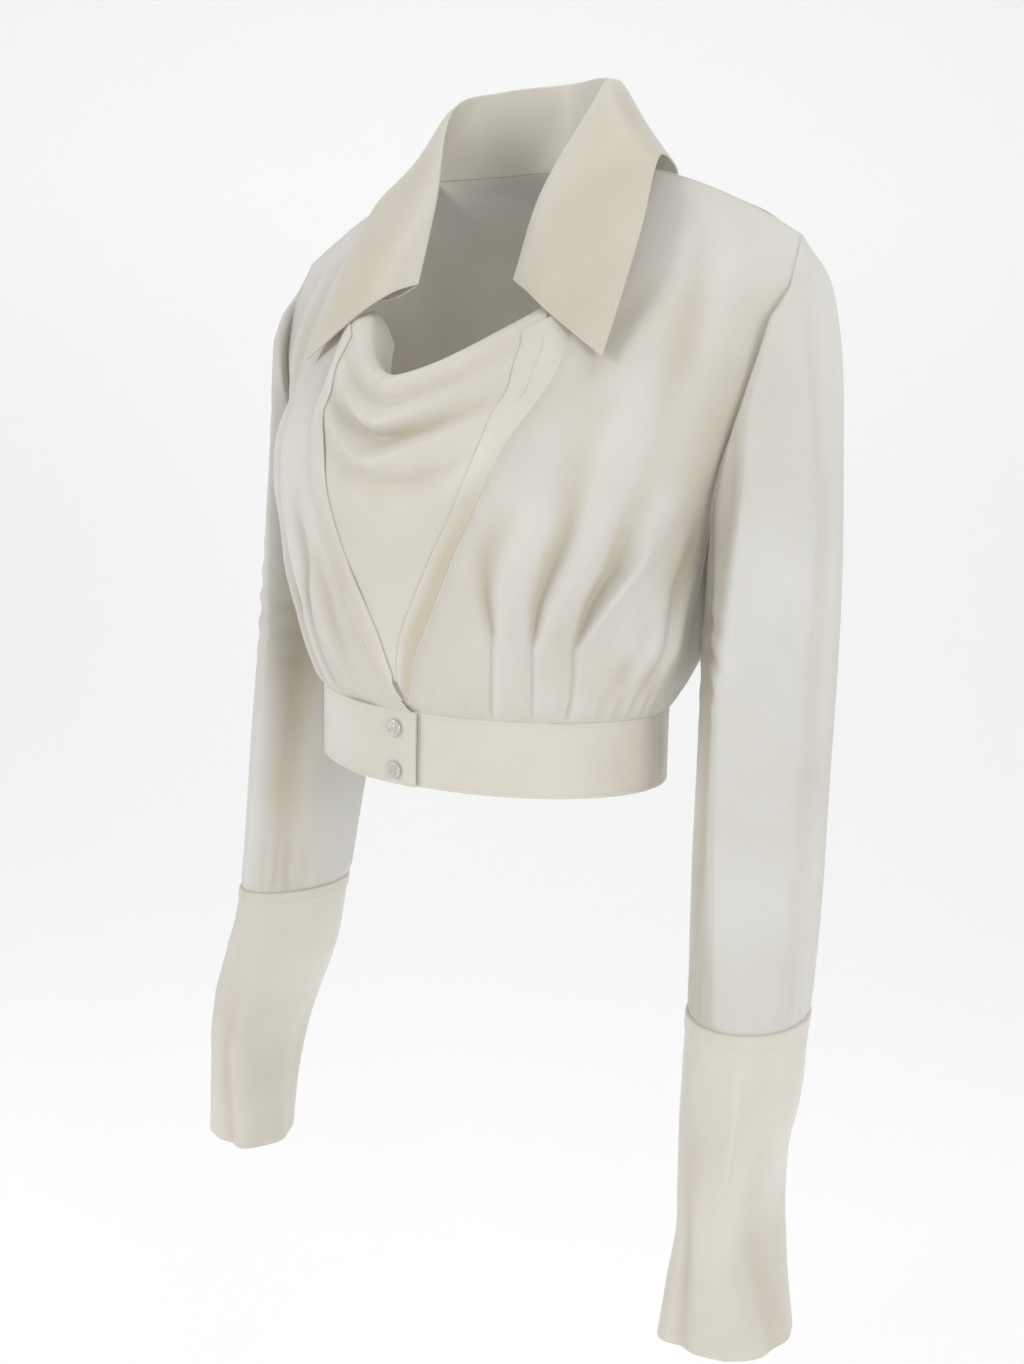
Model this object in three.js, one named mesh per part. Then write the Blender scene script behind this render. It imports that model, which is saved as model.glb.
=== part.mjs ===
// A cropped blouse with a draped cowl inset, a wide pointed collar, tucked fronts, a buttoned
// waistband and long sleeves that end in deep flared cuffs, as it hangs when it is worn.
// Millimetres. +X is the wearer's left, -Y the front and +Z up. The origin is the middle of the
// shoulder line, at the height of the side neck points.
import * as THREE from "three";

// Cloth and seams
const clothThickness = 1.4;
const bandThickness = 2.0;
const seamInset = 0.45;
const ridgeInset = 0.95;

// Waist and waistband
const waistZ = -342;
const bandHeight = 50;
const waistHalfWidth = 134;
const waistHalfDepth = 99;
const waistCentreY = -23;
const overlapPastCentre = 17;
const bandOverlapLift = 3;
const frontOverlapLifts = [3.6, 2.2];
const frontOverlapReach = 40;

// Buttons
const buttonDiameter = 11.5;
const buttonThickness = 2.6;
const buttonDrops = [11, 39.5];

// Fronts, from the waist seam up to the shoulder seam. The edge is the neckline side of the
// panel, the side is the side seam and then the front of the armhole, and depth is how far the
// section stands in front of the origin at the centre line.
const frontSections = [
  { edgeX: 6, edgeZ: -342, sideX: 134, sideY: -23, sideZ: -342, depth: 121, turn: 90 },
  { edgeX: 9, edgeZ: -326, sideX: 142, sideY: -22, sideZ: -331, depth: 130, turn: 90 },
  { edgeX: 30, edgeZ: -290, sideX: 154, sideY: -18, sideZ: -303, depth: 142, turn: 88 },
  { edgeX: 54, edgeZ: -240, sideX: 155, sideY: -13, sideZ: -265, depth: 144, turn: 86 },
  { edgeX: 70, edgeZ: -204, sideX: 156, sideY: -8, sideZ: -229, depth: 144, turn: 84 },
  { edgeX: 81, edgeZ: -168, sideX: 174, sideY: -26, sideZ: -183, depth: 134, turn: 70 },
  { edgeX: 94, edgeZ: -130, sideX: 194, sideY: -28, sideZ: -140, depth: 108, turn: 55 },
  { edgeX: 97, edgeZ: -88, sideX: 206, sideY: -22, sideZ: -104, depth: 82, turn: 45 },
  { edgeX: 90, edgeZ: -36, sideX: 211, sideY: -9, sideZ: -68, depth: 47, turn: 35 },
];

// The fullness that the fronts are cut with, as a soft rise over each side of the chest.
const fullness = { x: 118, z: -192, height: 17, reachX: 46, reachZ: 62 };

// Back, from the waist seam up. The last section is the neckline and the two shoulder seams.
const backSections = [
  { sideX: 134, sideY: -23, sideZ: -342, depth: 76, centreZ: -342, turn: 90 },
  { sideX: 142, sideY: -22, sideZ: -331, depth: 80, centreZ: -332, turn: 90 },
  { sideX: 154, sideY: -18, sideZ: -303, depth: 93, centreZ: -305, turn: 92 },
  { sideX: 155, sideY: -13, sideZ: -265, depth: 97, centreZ: -262, turn: 94 },
  { sideX: 156, sideY: -5, sideZ: -229, depth: 99, centreZ: -215, turn: 95 },
  { sideX: 172, sideY: 35, sideZ: -183, depth: 101, centreZ: -165, turn: 70 },
  { sideX: 190, sideY: 50, sideZ: -140, depth: 100, centreZ: -115, turn: 60 },
  { sideX: 203, sideY: 50, sideZ: -100, depth: 92, centreZ: -65, turn: 50 },
  { sideX: 210, sideY: 33, sideZ: -60, depth: 76, centreZ: -18, turn: 40 },
];

// Back neckline and shoulder seams, which crown a little between their ends.
const neckBackY = 50;
const neckBackZ = 22;
const neckPoint = { x: 78, y: 0, z: 14 };
const shoulderTip = { x: 209, y: 7, z: -37 };
const shoulderCrown = 7.5;
const neckShare = 0.36;

// The row of the tables above at which the side seam ends and the armhole begins.
const armpitRow = 4;

// The stitched tucks of a front, with the soft pleat that each one lets go above its stitching.
// Turn is the tuck's place round the waist in degrees from the centre front. The pleat leans out
// by lean, widens by pleatSpread and dies away between release and fade. Under its release it has
// the stitched share of its height, and the panel's own edges hold it flat.
const pleatSpread = 2.2;
const stitchedShare = 0.25;
const stitchEnd = { below: 8, above: 14 };
const waistHold = { from: 1, to: 16 };
const sideHold = 0.2;
const tucks = [
  { turn: 30, lean: -8, release: -290, fade: -215, height: 8, width: 8 },
  { turn: 42, lean: 12, release: -288, fade: -178, height: 10, width: 9 },
  { turn: 55, lean: 26, release: -286, fade: -182, height: 10, width: 10 },
];

// Left sleeve, from the armhole to the cuff seam. Each ring has an outer and an inner point.
const sleeveRings = [
  { outerX: 222, outerZ: -60, innerX: 165, innerZ: -238, middleY: 11, halfDepth: 47 },
  { outerX: 230, outerZ: -115, innerX: 163, innerZ: -262, middleY: 15, halfDepth: 51 },
  { outerX: 234, outerZ: -190, innerX: 163, innerZ: -292, middleY: 14, halfDepth: 54 },
  { outerX: 238, outerZ: -280, innerX: 165, innerZ: -335, middleY: 9, halfDepth: 54 },
  { outerX: 241, outerZ: -380, innerX: 168, innerZ: -395, middleY: 3, halfDepth: 54 },
  { outerX: 244, outerZ: -465, innerX: 172, innerZ: -466, middleY: -4, halfDepth: 52 },
  { outerX: 247, outerZ: -541, innerX: 175, innerZ: -537, middleY: -12, halfDepth: 50 },
];

// How far the sleeve starts out from the armhole, at the shoulder and under the arm.
const sleeveStart = { shoulder: 1.3, underarm: 2.2 };

// Left cuff, from its seam to its hem. Skew leans the outer side of a ring to the back.
const cuffRings = [
  { centreX: 211, centreY: -12, z: -539, halfX: 36, halfY: 50, skew: 0, tilt: -2 },
  { centreX: 213, centreY: -20, z: -582, halfX: 35, halfY: 50, skew: 0, tilt: -2 },
  { centreX: 217, centreY: -32, z: -625, halfX: 25, halfY: 52, skew: 2, tilt: 0 },
  { centreX: 220, centreY: -38, z: -658, halfX: 20, halfY: 50, skew: 5, tilt: 0 },
  { centreX: 222, centreY: -43, z: -695, halfX: 27, halfY: 44, skew: 8, tilt: 0 },
  { centreX: 225, centreY: -47, z: -734, halfX: 38, halfY: 38, skew: 10, tilt: 0 },
];

// Collar, from the stand over the fold to the outer edge. Each row has its own points at the
// centre back, beside the neck at the back, on the shoulder, on the chest and at the front.
const collarRows = [
  { back: [0, 50, 54], nape: [45, 33, 51], side: [69, 1, 42],
    chest: [64, -36, -18], front: [63, -65, -73] },
  { back: [0, 50, 80], nape: [43, 30, 76], side: [63, -2, 60],
    chest: [47, -40, -6], front: [41, -61, -63] },
  { back: [0, 58, 80], nape: [49, 37, 75], side: [69, -2, 58],
    chest: [56, -47, -8], front: [53, -69, -67] },
  { back: [0, 80, 52], nape: [61, 54, 45], side: [89, 1, 36],
    chest: [92, -53, -28], front: [86, -81, -87] },
  { back: [0, 100, 12], nape: [78, 70, 12], side: [110, 0, 16],
    chest: [130, -51, -40], front: [127, -83, -113] },
];

// The neck seam of the collar ends on the front edges, at this share of their rows. It stands
// this far above the back neckline, above the front edges and inside them.
const collarEndShare = 0.81;
const collarSeam = { aboveBack: 0.5, aboveFront: 1.3, inside: 0.8 };

// The right leaf of the collar falls closer to the neck than the left one.
const rightLeafPull = { side: 4, chest: 16, front: 4 };

// Facing strips between the front edges and the cowl inset, from the waist up.
const facingRows = [
  { edgeShare: 0.12, innerX: 4, innerY: -124, innerZ: -319 },
  { edgeShare: 0.21, innerX: 12, innerY: -131, innerZ: -290 },
  { edgeShare: 0.33, innerX: 40, innerY: -134.5, innerZ: -238 },
  { edgeShare: 0.44, innerX: 61, innerY: -131, innerZ: -203 },
  { edgeShare: 0.55, innerX: 74, innerY: -121, innerZ: -166 },
  { edgeShare: 0.66, innerX: 85, innerY: -103, innerZ: -130 },
  { edgeShare: 0.76, innerX: 88, innerY: -80, innerZ: -94 },
];

// Cowl inset, from the bottom of the V up. Each row hangs between two end points, and its
// middle is its lowest point. Sharp is the power that shapes the hang.
const cowlRows = [
  { endX: 3, endY: -126, endZ: -312, middleY: -126, middleZ: -313, sharp: 2 },
  { endX: 9.5, endY: -131, endZ: -294, middleY: -131, middleZ: -296, sharp: 2 },
  { endX: 38, endY: -135, endZ: -241, middleY: -136.5, middleZ: -245, sharp: 2 },
  { endX: 60, endY: -132, endZ: -204, middleY: -136.5, middleZ: -212, sharp: 2 },
  { endX: 73, endY: -122, endZ: -167, middleY: -138.5, middleZ: -190, sharp: 1.8 },
  { endX: 79, endY: -111, endZ: -144, middleY: -150, middleZ: -177, sharp: 1.6 },
  { endX: 83, endY: -103, endZ: -130, middleY: -138, middleZ: -164, sharp: 1.5 },
  { endX: 85, endY: -94, endZ: -115, middleY: -147, middleZ: -153, sharp: 1.5 },
  { endX: 83, endY: -86, endZ: -102, middleY: -136, middleZ: -142, sharp: 1.5 },
  { endX: 76, endY: -78, endZ: -91, middleY: -137, middleZ: -131, sharp: 1.6 },
  { endX: 69, endY: -72, endZ: -88, middleY: -128, middleZ: -127, sharp: 1.7 },
  { endX: 64, endY: -66, endZ: -93, middleY: -120, middleZ: -134, sharp: 1.7 },
  { endX: 60, endY: -62, endZ: -103, middleY: -116, middleZ: -158, sharp: 1.7 },
];

const point = (x, y, z) => new THREE.Vector3(x, y, z);
const radians = THREE.MathUtils.degToRad;
const mix = THREE.MathUtils.lerp;
const ease = THREE.MathUtils.smoothstep;

// The slope at a value between two steps, which is level where the values turn.
function slopeBetween(stepIn, stepOut) {
  return stepIn * stepOut > 0 ? (2 * stepIn * stepOut) / (stepIn + stepOut) : 0;
}

// A smooth curve through values that are one step apart, at a place along them.
function smoothAlong(values, place) {
  const last = values.length - 1;
  const index = Math.min(Math.max(Math.floor(place), 0), last - 1);
  const share = place - index;
  const before = values[index - 1] ?? 2 * values[0] - values[1];
  const after = values[index + 2] ?? 2 * values[last] - values[last - 1];
  const [from, to] = [values[index], values[index + 1]];
  const slopeIn = slopeBetween(from - before, to - from);
  const slopeOut = slopeBetween(to - from, after - to);
  const square = share * share;
  const cube = square * share;
  return (
    (2 * cube - 3 * square + 1) * from +
    (cube - 2 * square + share) * slopeIn +
    (3 * square - 2 * cube) * to +
    (cube - square) * slopeOut
  );
}

// A surface through section curves, with u along each curve and v from the first to the last.
function loft(curves) {
  return (u, v) => {
    const points = curves.map((curve) => curve(u));
    const place = v * (curves.length - 1);
    return point(
      smoothAlong(points.map((p) => p.x), place),
      smoothAlong(points.map((p) => p.y), place),
      smoothAlong(points.map((p) => p.z), place),
    );
  };
}

// A wall of cloth on a surface. Its rims are moved in by their insets, and relief moves the
// cloth out along its normal. A closed wall meets itself in u.
function clothWall(surface, columns, rows, options = {}) {
  const { thickness = clothThickness, closed = false, relief = null } = options;
  const { bottom = seamInset, top = seamInset, first = seamInset, last = seamInset } = options;
  const across = closed ? columns : columns + 1;
  const middle = [];
  for (let j = 0; j <= rows; j++)
    for (let i = 0; i < across; i++) middle.push(surface(i / columns, j / rows));
  const at = (i, j) => {
    const column = closed ? (i + across) % across : Math.min(Math.max(i, 0), across - 1);
    return middle[Math.min(Math.max(j, 0), rows) * across + column];
  };
  const normals = (list) =>
    list.map((_, k) => {
      const [i, j] = [k % across, Math.floor(k / across)];
      const along = at(i + 1, j).clone().sub(at(i - 1, j));
      const up = at(i, j + 1).clone().sub(at(i, j - 1));
      return along.cross(up).normalize();
    });
  const moveIn = (from, to, inset) => from.add(to.clone().sub(from).normalize().multiplyScalar(inset));
  for (let i = 0; i < across; i++) {
    moveIn(at(i, 0), at(i, 1), bottom);
    moveIn(at(i, rows), at(i, rows - 1), top);
  }
  if (!closed)
    for (let j = 0; j <= rows; j++) {
      moveIn(at(0, j), at(1, j), first);
      moveIn(at(columns, j), at(columns - 1, j), last);
    }
  if (relief) {
    const out = normals(middle);
    middle.forEach((p, k) => {
      const [i, j] = [k % across, Math.floor(k / across)];
      p.addScaledVector(out[k], relief(i / columns, j / rows, p));
    });
  }
  const out = normals(middle);
  const positions = [];
  for (const side of [0.5, -0.5])
    middle.forEach((p, k) => {
      const moved = p.clone().addScaledVector(out[k], side * thickness);
      positions.push(moved.x, moved.y, moved.z);
    });
  const layer = middle.length;
  const faces = [];
  const quad = (a, b, c, d) => faces.push(a, b, c, a, c, d);
  const corner = (i, j) => j * across + (closed ? i % across : i);
  for (let j = 0; j < rows; j++)
    for (let i = 0; i < columns; i++) {
      const [a, b, c, d] = [corner(i, j), corner(i + 1, j), corner(i + 1, j + 1), corner(i, j + 1)];
      quad(a, b, c, d);
      quad(layer + a, layer + d, layer + c, layer + b);
    }
  for (let i = 0; i < columns; i++) {
    quad(layer + corner(i, 0), layer + corner(i + 1, 0), corner(i + 1, 0), corner(i, 0));
    quad(corner(i, rows), corner(i + 1, rows), layer + corner(i + 1, rows), layer + corner(i, rows));
  }
  if (!closed)
    for (let j = 0; j < rows; j++) {
      const [a, b, c, d] = [corner(0, j), corner(0, j + 1), corner(columns, j), corner(columns, j + 1)];
      quad(a, b, layer + b, layer + a);
      quad(layer + c, layer + d, d, c);
    }
  return facingOut(positions, faces);
}

// A closed geometry from points and triangles, turned round if its faces point in.
function facingOut(positions, faces) {
  const vertex = (index) => point(...positions.slice(3 * index, 3 * index + 3));
  let volume = 0;
  for (let k = 0; k < faces.length; k += 3)
    volume += vertex(faces[k]).dot(vertex(faces[k + 1]).cross(vertex(faces[k + 2])));
  if (volume < 0) faces.reverse();
  const geometry = new THREE.BufferGeometry();
  geometry.setAttribute("position", new THREE.Float32BufferAttribute(positions, 3));
  geometry.setIndex(faces);
  return geometry;
}

// A section of a panel, as an arc that starts at the centre line and ends at the side point.
function sectionArc(row, frontOrBack, share) {
  const turn = radians(row.turn);
  const angle = share * turn;
  const centreY = frontOrBack * row.depth;
  const across = (row.sideX * Math.sin(angle)) / Math.sin(turn);
  const deep = centreY + ((row.sideY - centreY) * (1 - Math.cos(angle))) / (1 - Math.cos(turn));
  return { across, deep };
}

// The share of a section's arc at which it crosses a given distance from the centre line.
function shareAcross(row, x) {
  const turn = radians(row.turn);
  return Math.asin((x * Math.sin(turn)) / row.sideX) / turn;
}

function frontCurve(row, edgeX, lift) {
  return (u) => {
    const share = mix(shareAcross(row, edgeX), 1, u);
    const { across, deep } = sectionArc(row, -1, share);
    const z = mix(row.edgeZ, row.sideZ, (across - edgeX) / (row.sideX - edgeX));
    return point(across, deep - lift * ease(frontOverlapReach - across, 0, frontOverlapReach), z);
  };
}

// The shoulder seam, from the neck to the armhole.
function shoulderSeam(share) {
  const [from, to] = [neckPoint, shoulderTip];
  const crown = 4 * shoulderCrown * share * (1 - share);
  return point(mix(from.x, to.x, share), mix(from.y, to.y, share), mix(from.z, to.z, share) + crown);
}

// One front as a surface, on the left for side 1 and on the right for side -1. The right front
// passes over the left one at the waist.
function frontSurface(side) {
  const edgeAtWaist = side > 0 ? 3 : 3 - overlapPastCentre;
  const surface = loft([
    ...frontSections.map((row, index) => {
      const lift = side > 0 ? 0 : (frontOverlapLifts[index] ?? 0);
      return frontCurve(row, index > 0 ? row.edgeX : edgeAtWaist, lift);
    }),
    shoulderSeam,
  ]);
  return (u, v) => {
    const p = surface(u, v);
    p.x *= side;
    return p;
  };
}

// How far the fullness, the tucks and their pleats raise a front, at a point of it.
function frontRelief(u, v, p) {
  const x = Math.abs(p.x);
  const [offX, offZ] = [(x - fullness.x) / fullness.reachX, (p.z - fullness.z) / fullness.reachZ];
  let height = fullness.height * Math.exp(-(offX ** 2) - offZ ** 2);
  for (const tuck of tucks) {
    const stitched = ease(p.z, tuck.release - stitchEnd.below, tuck.release + stitchEnd.above);
    const rise = THREE.MathUtils.clamp((p.z - tuck.release) / (tuck.fade - tuck.release), 0, 1);
    const fading = 1 - ease(p.z, mix(tuck.release, tuck.fade, 0.45), tuck.fade);
    const place = waistHalfWidth * Math.sin(radians(tuck.turn)) + tuck.lean * rise;
    const width = tuck.width * mix(1, pleatSpread, rise);
    const swell = Math.exp(-(((x - place) / width) ** 2));
    height += tuck.height * swell * mix(stitchedShare, 1, stitched) * fading;
  }
  const held = ease(p.z, waistZ + waistHold.from, waistZ + waistHold.to);
  return height * held * ease(1 - u, 0, sideHold);
}

function backCurve(row) {
  return (u) => {
    const share = 2 * u - 1;
    const { across, deep } = sectionArc(row, 1, Math.abs(share));
    const z = mix(row.centreZ, row.sideZ, (across / row.sideX) ** 2);
    return point(Math.sign(share) * across, deep, z);
  };
}

// The back's upper edge: a shoulder seam, the back neckline and the other shoulder seam.
function backTop(u) {
  const share = 2 * u - 1;
  const side = Math.sign(share);
  const reach = Math.abs(share);
  if (reach < neckShare) {
    const angle = (reach / neckShare) * (Math.PI / 2);
    const height = mix(neckPoint.z, neckBackZ, Math.cos(angle));
    return point(side * neckPoint.x * Math.sin(angle), neckBackY * Math.cos(angle), height);
  }
  const p = shoulderSeam((reach - neckShare) / (1 - neckShare));
  return point(side * p.x, p.y, p.z);
}

const leftFront = frontSurface(1);
const backSurface = loft([...backSections.map(backCurve), backTop]);

// The armhole as a closed curve, from the shoulder tip down the front and up the back.
function armhole() {
  const steps = 7;
  const armpitShare = armpitRow / frontSections.length;
  const shares = Array.from({ length: steps }, (_, index) => index / steps);
  const down = shares.map((share) => leftFront(1, mix(1, armpitShare, share)));
  const up = shares.map((share) => backSurface(1, mix(armpitShare, 1, share)));
  return new THREE.CatmullRomCurve3([...down, ...up], true);
}

function sleeveRing(row) {
  return (u) => {
    const angle = 2 * Math.PI * u;
    const [middleX, middleZ] = [(row.outerX + row.innerX) / 2, (row.outerZ + row.innerZ) / 2];
    return point(
      middleX + ((row.outerX - row.innerX) / 2) * Math.cos(angle),
      row.middleY - row.halfDepth * Math.sin(angle),
      middleZ + ((row.outerZ - row.innerZ) / 2) * Math.cos(angle),
    );
  };
}

function cuffRing(row) {
  return (u) => {
    const angle = 2 * Math.PI * u;
    return point(
      row.centreX + row.halfX * Math.cos(angle),
      row.centreY + row.skew * Math.cos(angle) - row.halfY * Math.sin(angle),
      row.z + row.tilt * Math.cos(angle),
    );
  };
}

const mirrored = (surface, side) => (u, v) => {
  const p = surface(u, v);
  p.x *= side;
  return p;
};

const armholeCurve = armhole();

function sleeveHead(u) {
  const p = armholeCurve.getPoint(u);
  const drop = (shoulderTip.z - p.z) / (shoulderTip.z - frontSections[armpitRow].sideZ);
  p.x += mix(sleeveStart.shoulder, sleeveStart.underarm, drop);
  return p;
}

const sleeveSurface = loft([sleeveHead, ...sleeveRings.map(sleeveRing)]);
const cuffSurface = loft(cuffRings.map(cuffRing));

// The neck seam, round the back neckline and down the front edges, a little clear of them.
function neckSeam(u) {
  const share = 2 * u - 1;
  const side = Math.sign(share);
  const reach = Math.abs(share);
  const angle = Math.min(reach, 0.5) * Math.PI;
  const height = mix(neckPoint.z, neckBackZ, Math.cos(angle));
  if (reach < 0.5) {
    const [x, y] = [side * neckPoint.x * Math.sin(angle), neckBackY * Math.cos(angle)];
    return point(x, y, height + collarSeam.aboveBack);
  }
  const down = 2 * reach - 1;
  const p = leftFront(0, mix(1, collarEndShare, down));
  return point(side * (p.x - collarSeam.inside * down), p.y, p.z + collarSeam.aboveFront);
}

// The collar runs from the right front round the back of the neck to the left front.
function collarCurve(row, index) {
  const pull = Math.max(index - 1, 0) / (collarRows.length - 2);
  const left = ["back", "nape", "side", "chest", "front"].map((name) => point(...row[name]));
  const right = ["front", "chest", "side", "nape"].map((name) => {
    const [x, y, z] = row[name];
    return point(pull * (rightLeafPull[name] ?? 0) - x, y, z);
  });
  const curve = new THREE.CatmullRomCurve3([...right, ...left], false, "centripetal");
  return (u) => curve.getPoint(u);
}

// A facing strip from the cowl inset's side to the front's edge.
function facingSurface(side) {
  const front = frontSurface(side);
  const curves = facingRows.map((row) => {
    const edge = front(0, row.edgeShare);
    const inner = point(side * row.innerX, row.innerY, row.innerZ);
    return (u) => inner.clone().lerp(edge, u);
  });
  return loft(curves);
}

function cowlCurve(row) {
  return (u) => {
    const share = 2 * u - 1;
    const hang = Math.abs(share) ** row.sharp;
    return point(row.endX * share, mix(row.middleY, row.endY, hang), mix(row.middleZ, row.endZ, hang));
  };
}

// A stretch of the waistband between two turns from the centre front, in degrees.
function bandSurface(fromTurn, toTurn, liftAt = () => 0) {
  return (u, v) => {
    const angle = radians(mix(fromTurn, toTurn, u));
    const lift = liftAt(THREE.MathUtils.radToDeg(angle));
    const x = (waistHalfWidth + lift) * Math.sin(angle);
    const y = waistCentreY - (waistHalfDepth - 1 + lift) * Math.cos(angle);
    return point(x, y, mix(waistZ - bandHeight, waistZ, v));
  };
}

const overlapTurn = THREE.MathUtils.radToDeg(Math.asin(overlapPastCentre / waistHalfWidth));
const liftOverlap = (turn) => bandOverlapLift * ease(turn, -30, -12);

// A flat button with a raised rim and a dished middle, seated on the band.
function buttonGeometry() {
  const radius = buttonDiameter / 2;
  const profile = [
    [0, 0],
    [radius - 0.8, 0],
    [radius, 0.8],
    [radius, buttonThickness - 0.7],
    [radius - 0.9, buttonThickness],
    [radius - 2.2, buttonThickness - 0.2],
    [radius - 3, buttonThickness - 1],
    [0, buttonThickness - 1],
  ].map(([r, height]) => new THREE.Vector2(r, height));
  return new THREE.LatheGeometry(profile, 16);
}

const silkColour = 0xdedbcd;
const creamColour = 0xe6e2cf;
const sheer = new THREE.MeshStandardMaterial({ color: silkColour, roughness: 0.75, side: THREE.DoubleSide });
const satin = new THREE.MeshStandardMaterial({ color: creamColour, roughness: 0.5, side: THREE.DoubleSide });
const pearl = new THREE.MeshStandardMaterial({ color: 0xcfc9bc, roughness: 0.2 });

const blouse = new THREE.Group();

function add(name, geometry, material) {
  const mesh = new THREE.Mesh(geometry, material);
  mesh.name = name;
  blouse.add(mesh);
  return mesh;
}

const sides = [
  ["left", 1],
  ["right", -1],
];

for (const [name, side] of sides) {
  const outward = (u, v, p) => side * frontRelief(u, v, p);
  add(`front_${name}`, clothWall(frontSurface(side), 26, 18, { relief: outward, top: ridgeInset }), sheer);
  add(`facing_${name}`, clothWall(facingSurface(side), 2, 12, { last: ridgeInset }), satin);
  add(`sleeve_${name}`, clothWall(mirrored(sleeveSurface, side), 18, 11, { closed: true }), sheer);
  add(`cuff_${name}`, clothWall(mirrored(cuffSurface, side), 18, 9, { closed: true }), satin);
}

add("back", clothWall(backSurface, 22, 14, { top: ridgeInset }), sheer);
add("collar", clothWall(loft([neckSeam, ...collarRows.map(collarCurve)]), 28, 10), satin);
add("cowl_inset", clothWall(loft(cowlRows.map(cowlCurve)), 14, 22), satin);

const sideTurn = 90;
const wall = { thickness: bandThickness };
add("waistband_left", clothWall(bandSurface(-overlapTurn, sideTurn), 14, 1, wall), satin);
add("waistband_right", clothWall(bandSurface(-sideTurn, overlapTurn, liftOverlap), 14, 1, wall), satin);
add("waistband_back", clothWall(bandSurface(sideTurn, 360 - sideTurn), 18, 1, wall), satin);

buttonDrops.forEach((drop, index) => {
  const mesh = add(index ? "button_lower" : "button_upper", buttonGeometry(), pearl);
  const bandFace = waistCentreY - (waistHalfDepth - 1 + bandOverlapLift) - bandThickness / 2;
  mesh.rotation.x = Math.PI;
  mesh.position.set(0, bandFace - 0.3, waistZ - drop);
});

export default blouse;
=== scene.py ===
import math

import bpy
import numpy as np
from mathutils import Matrix, Vector


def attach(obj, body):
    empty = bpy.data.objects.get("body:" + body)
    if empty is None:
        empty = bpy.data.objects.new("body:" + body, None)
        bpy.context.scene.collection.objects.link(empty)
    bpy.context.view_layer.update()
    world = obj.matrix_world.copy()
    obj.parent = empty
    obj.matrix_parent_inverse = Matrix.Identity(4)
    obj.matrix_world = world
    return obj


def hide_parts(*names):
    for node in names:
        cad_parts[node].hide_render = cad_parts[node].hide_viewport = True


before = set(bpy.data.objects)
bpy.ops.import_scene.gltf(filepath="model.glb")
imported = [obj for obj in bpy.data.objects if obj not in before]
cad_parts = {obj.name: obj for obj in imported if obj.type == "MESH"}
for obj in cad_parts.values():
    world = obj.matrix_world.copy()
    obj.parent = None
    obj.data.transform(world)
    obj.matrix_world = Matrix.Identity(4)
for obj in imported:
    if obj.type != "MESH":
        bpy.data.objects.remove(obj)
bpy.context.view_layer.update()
print("frame loaded")

# lengths in the tables are millimetres, +X is the wearer's left, -Y the front, +Z up
mm = 0.001


# curves and grids

def ease(values, start, end):
    share = np.clip((values - start) / (end - start), 0, 1)
    return share * share * (3 - 2 * share)


def between(low, high, share):
    return low + (high - low) * share


def loft(sections, shares):
    # a smooth run through section curves, level where the values turn
    sections = np.asarray(sections, float)
    steps = np.diff(sections, axis=0)
    before = np.concatenate([steps[:1], steps])
    after = np.concatenate([steps, steps[-1:]])
    sums = np.where(before + after == 0, 1, before + after)
    slopes = np.where(before * after > 0, 2 * before * after / sums, 0)
    place = np.asarray(shares) * (len(sections) - 1)
    index = np.clip(place.astype(int), 0, len(sections) - 2)
    t = (place - index)[:, None, None]
    start = sections[index] * (2 * t**3 - 3 * t**2 + 1) + slopes[index] * (t**3 - 2 * t**2 + t)
    end = sections[index + 1] * (3 * t**2 - 2 * t**3) + slopes[index + 1] * (t**3 - t**2)
    return start + end


def throughPoints(points, shares):
    # one smooth open curve through a few points, evenly stepped
    grid = np.asarray(points, float)
    padded = np.concatenate([[2 * grid[0] - grid[1]], grid, [2 * grid[-1] - grid[-2]]])
    place = np.asarray(shares) * (len(grid) - 1)
    index = np.clip(place.astype(int), 0, len(grid) - 2)
    t = (place - index)[:, None]
    a, b, c, d = (padded[index + k] for k in range(4))
    return 0.5 * (2 * b + (c - a) * t + (2 * a - 5 * b + 4 * c - d) * t**2 + (3 * b - a - 3 * c + d) * t**3)


def relaxed(grid, passes):
    # softens a grid along its rows, with both ends kept
    grid = grid.copy()
    for _ in range(passes):
        grid[1:-1] += 0.25 * (grid[:-2] - 2 * grid[1:-1] + grid[2:])
    return grid


def outward(grid, closed=False):
    if closed:
        across = np.roll(grid, -1, 1) - np.roll(grid, 1, 1)
    else:
        across = np.gradient(grid, axis=1)
    normal = np.cross(across, np.gradient(grid, axis=0))
    return normal / np.maximum(np.linalg.norm(normal, axis=2, keepdims=True), 1e-9)


def raised(grid, height, closed=False):
    return grid + outward(grid, closed) * np.asarray(height)[..., None]


def ripple(a, b, seed, scale):
    # slow uneven waves, the same on every run
    rng = np.random.default_rng(seed)
    total = 0
    for _ in range(7):
        angle, phase = rng.uniform(0, math.tau, 2)
        reach = scale * rng.uniform(0.7, 1.6)
        total = total + np.sin((a * math.cos(angle) + b * math.sin(angle)) * math.tau / reach + phase)
    return total / 7


def rowLengths(grid, closed=False):
    steps = np.diff(np.concatenate([grid, grid[:, :1]], axis=1) if closed else grid, axis=1)
    return np.linalg.norm(steps, axis=2).sum(axis=1)[:, None]


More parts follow.
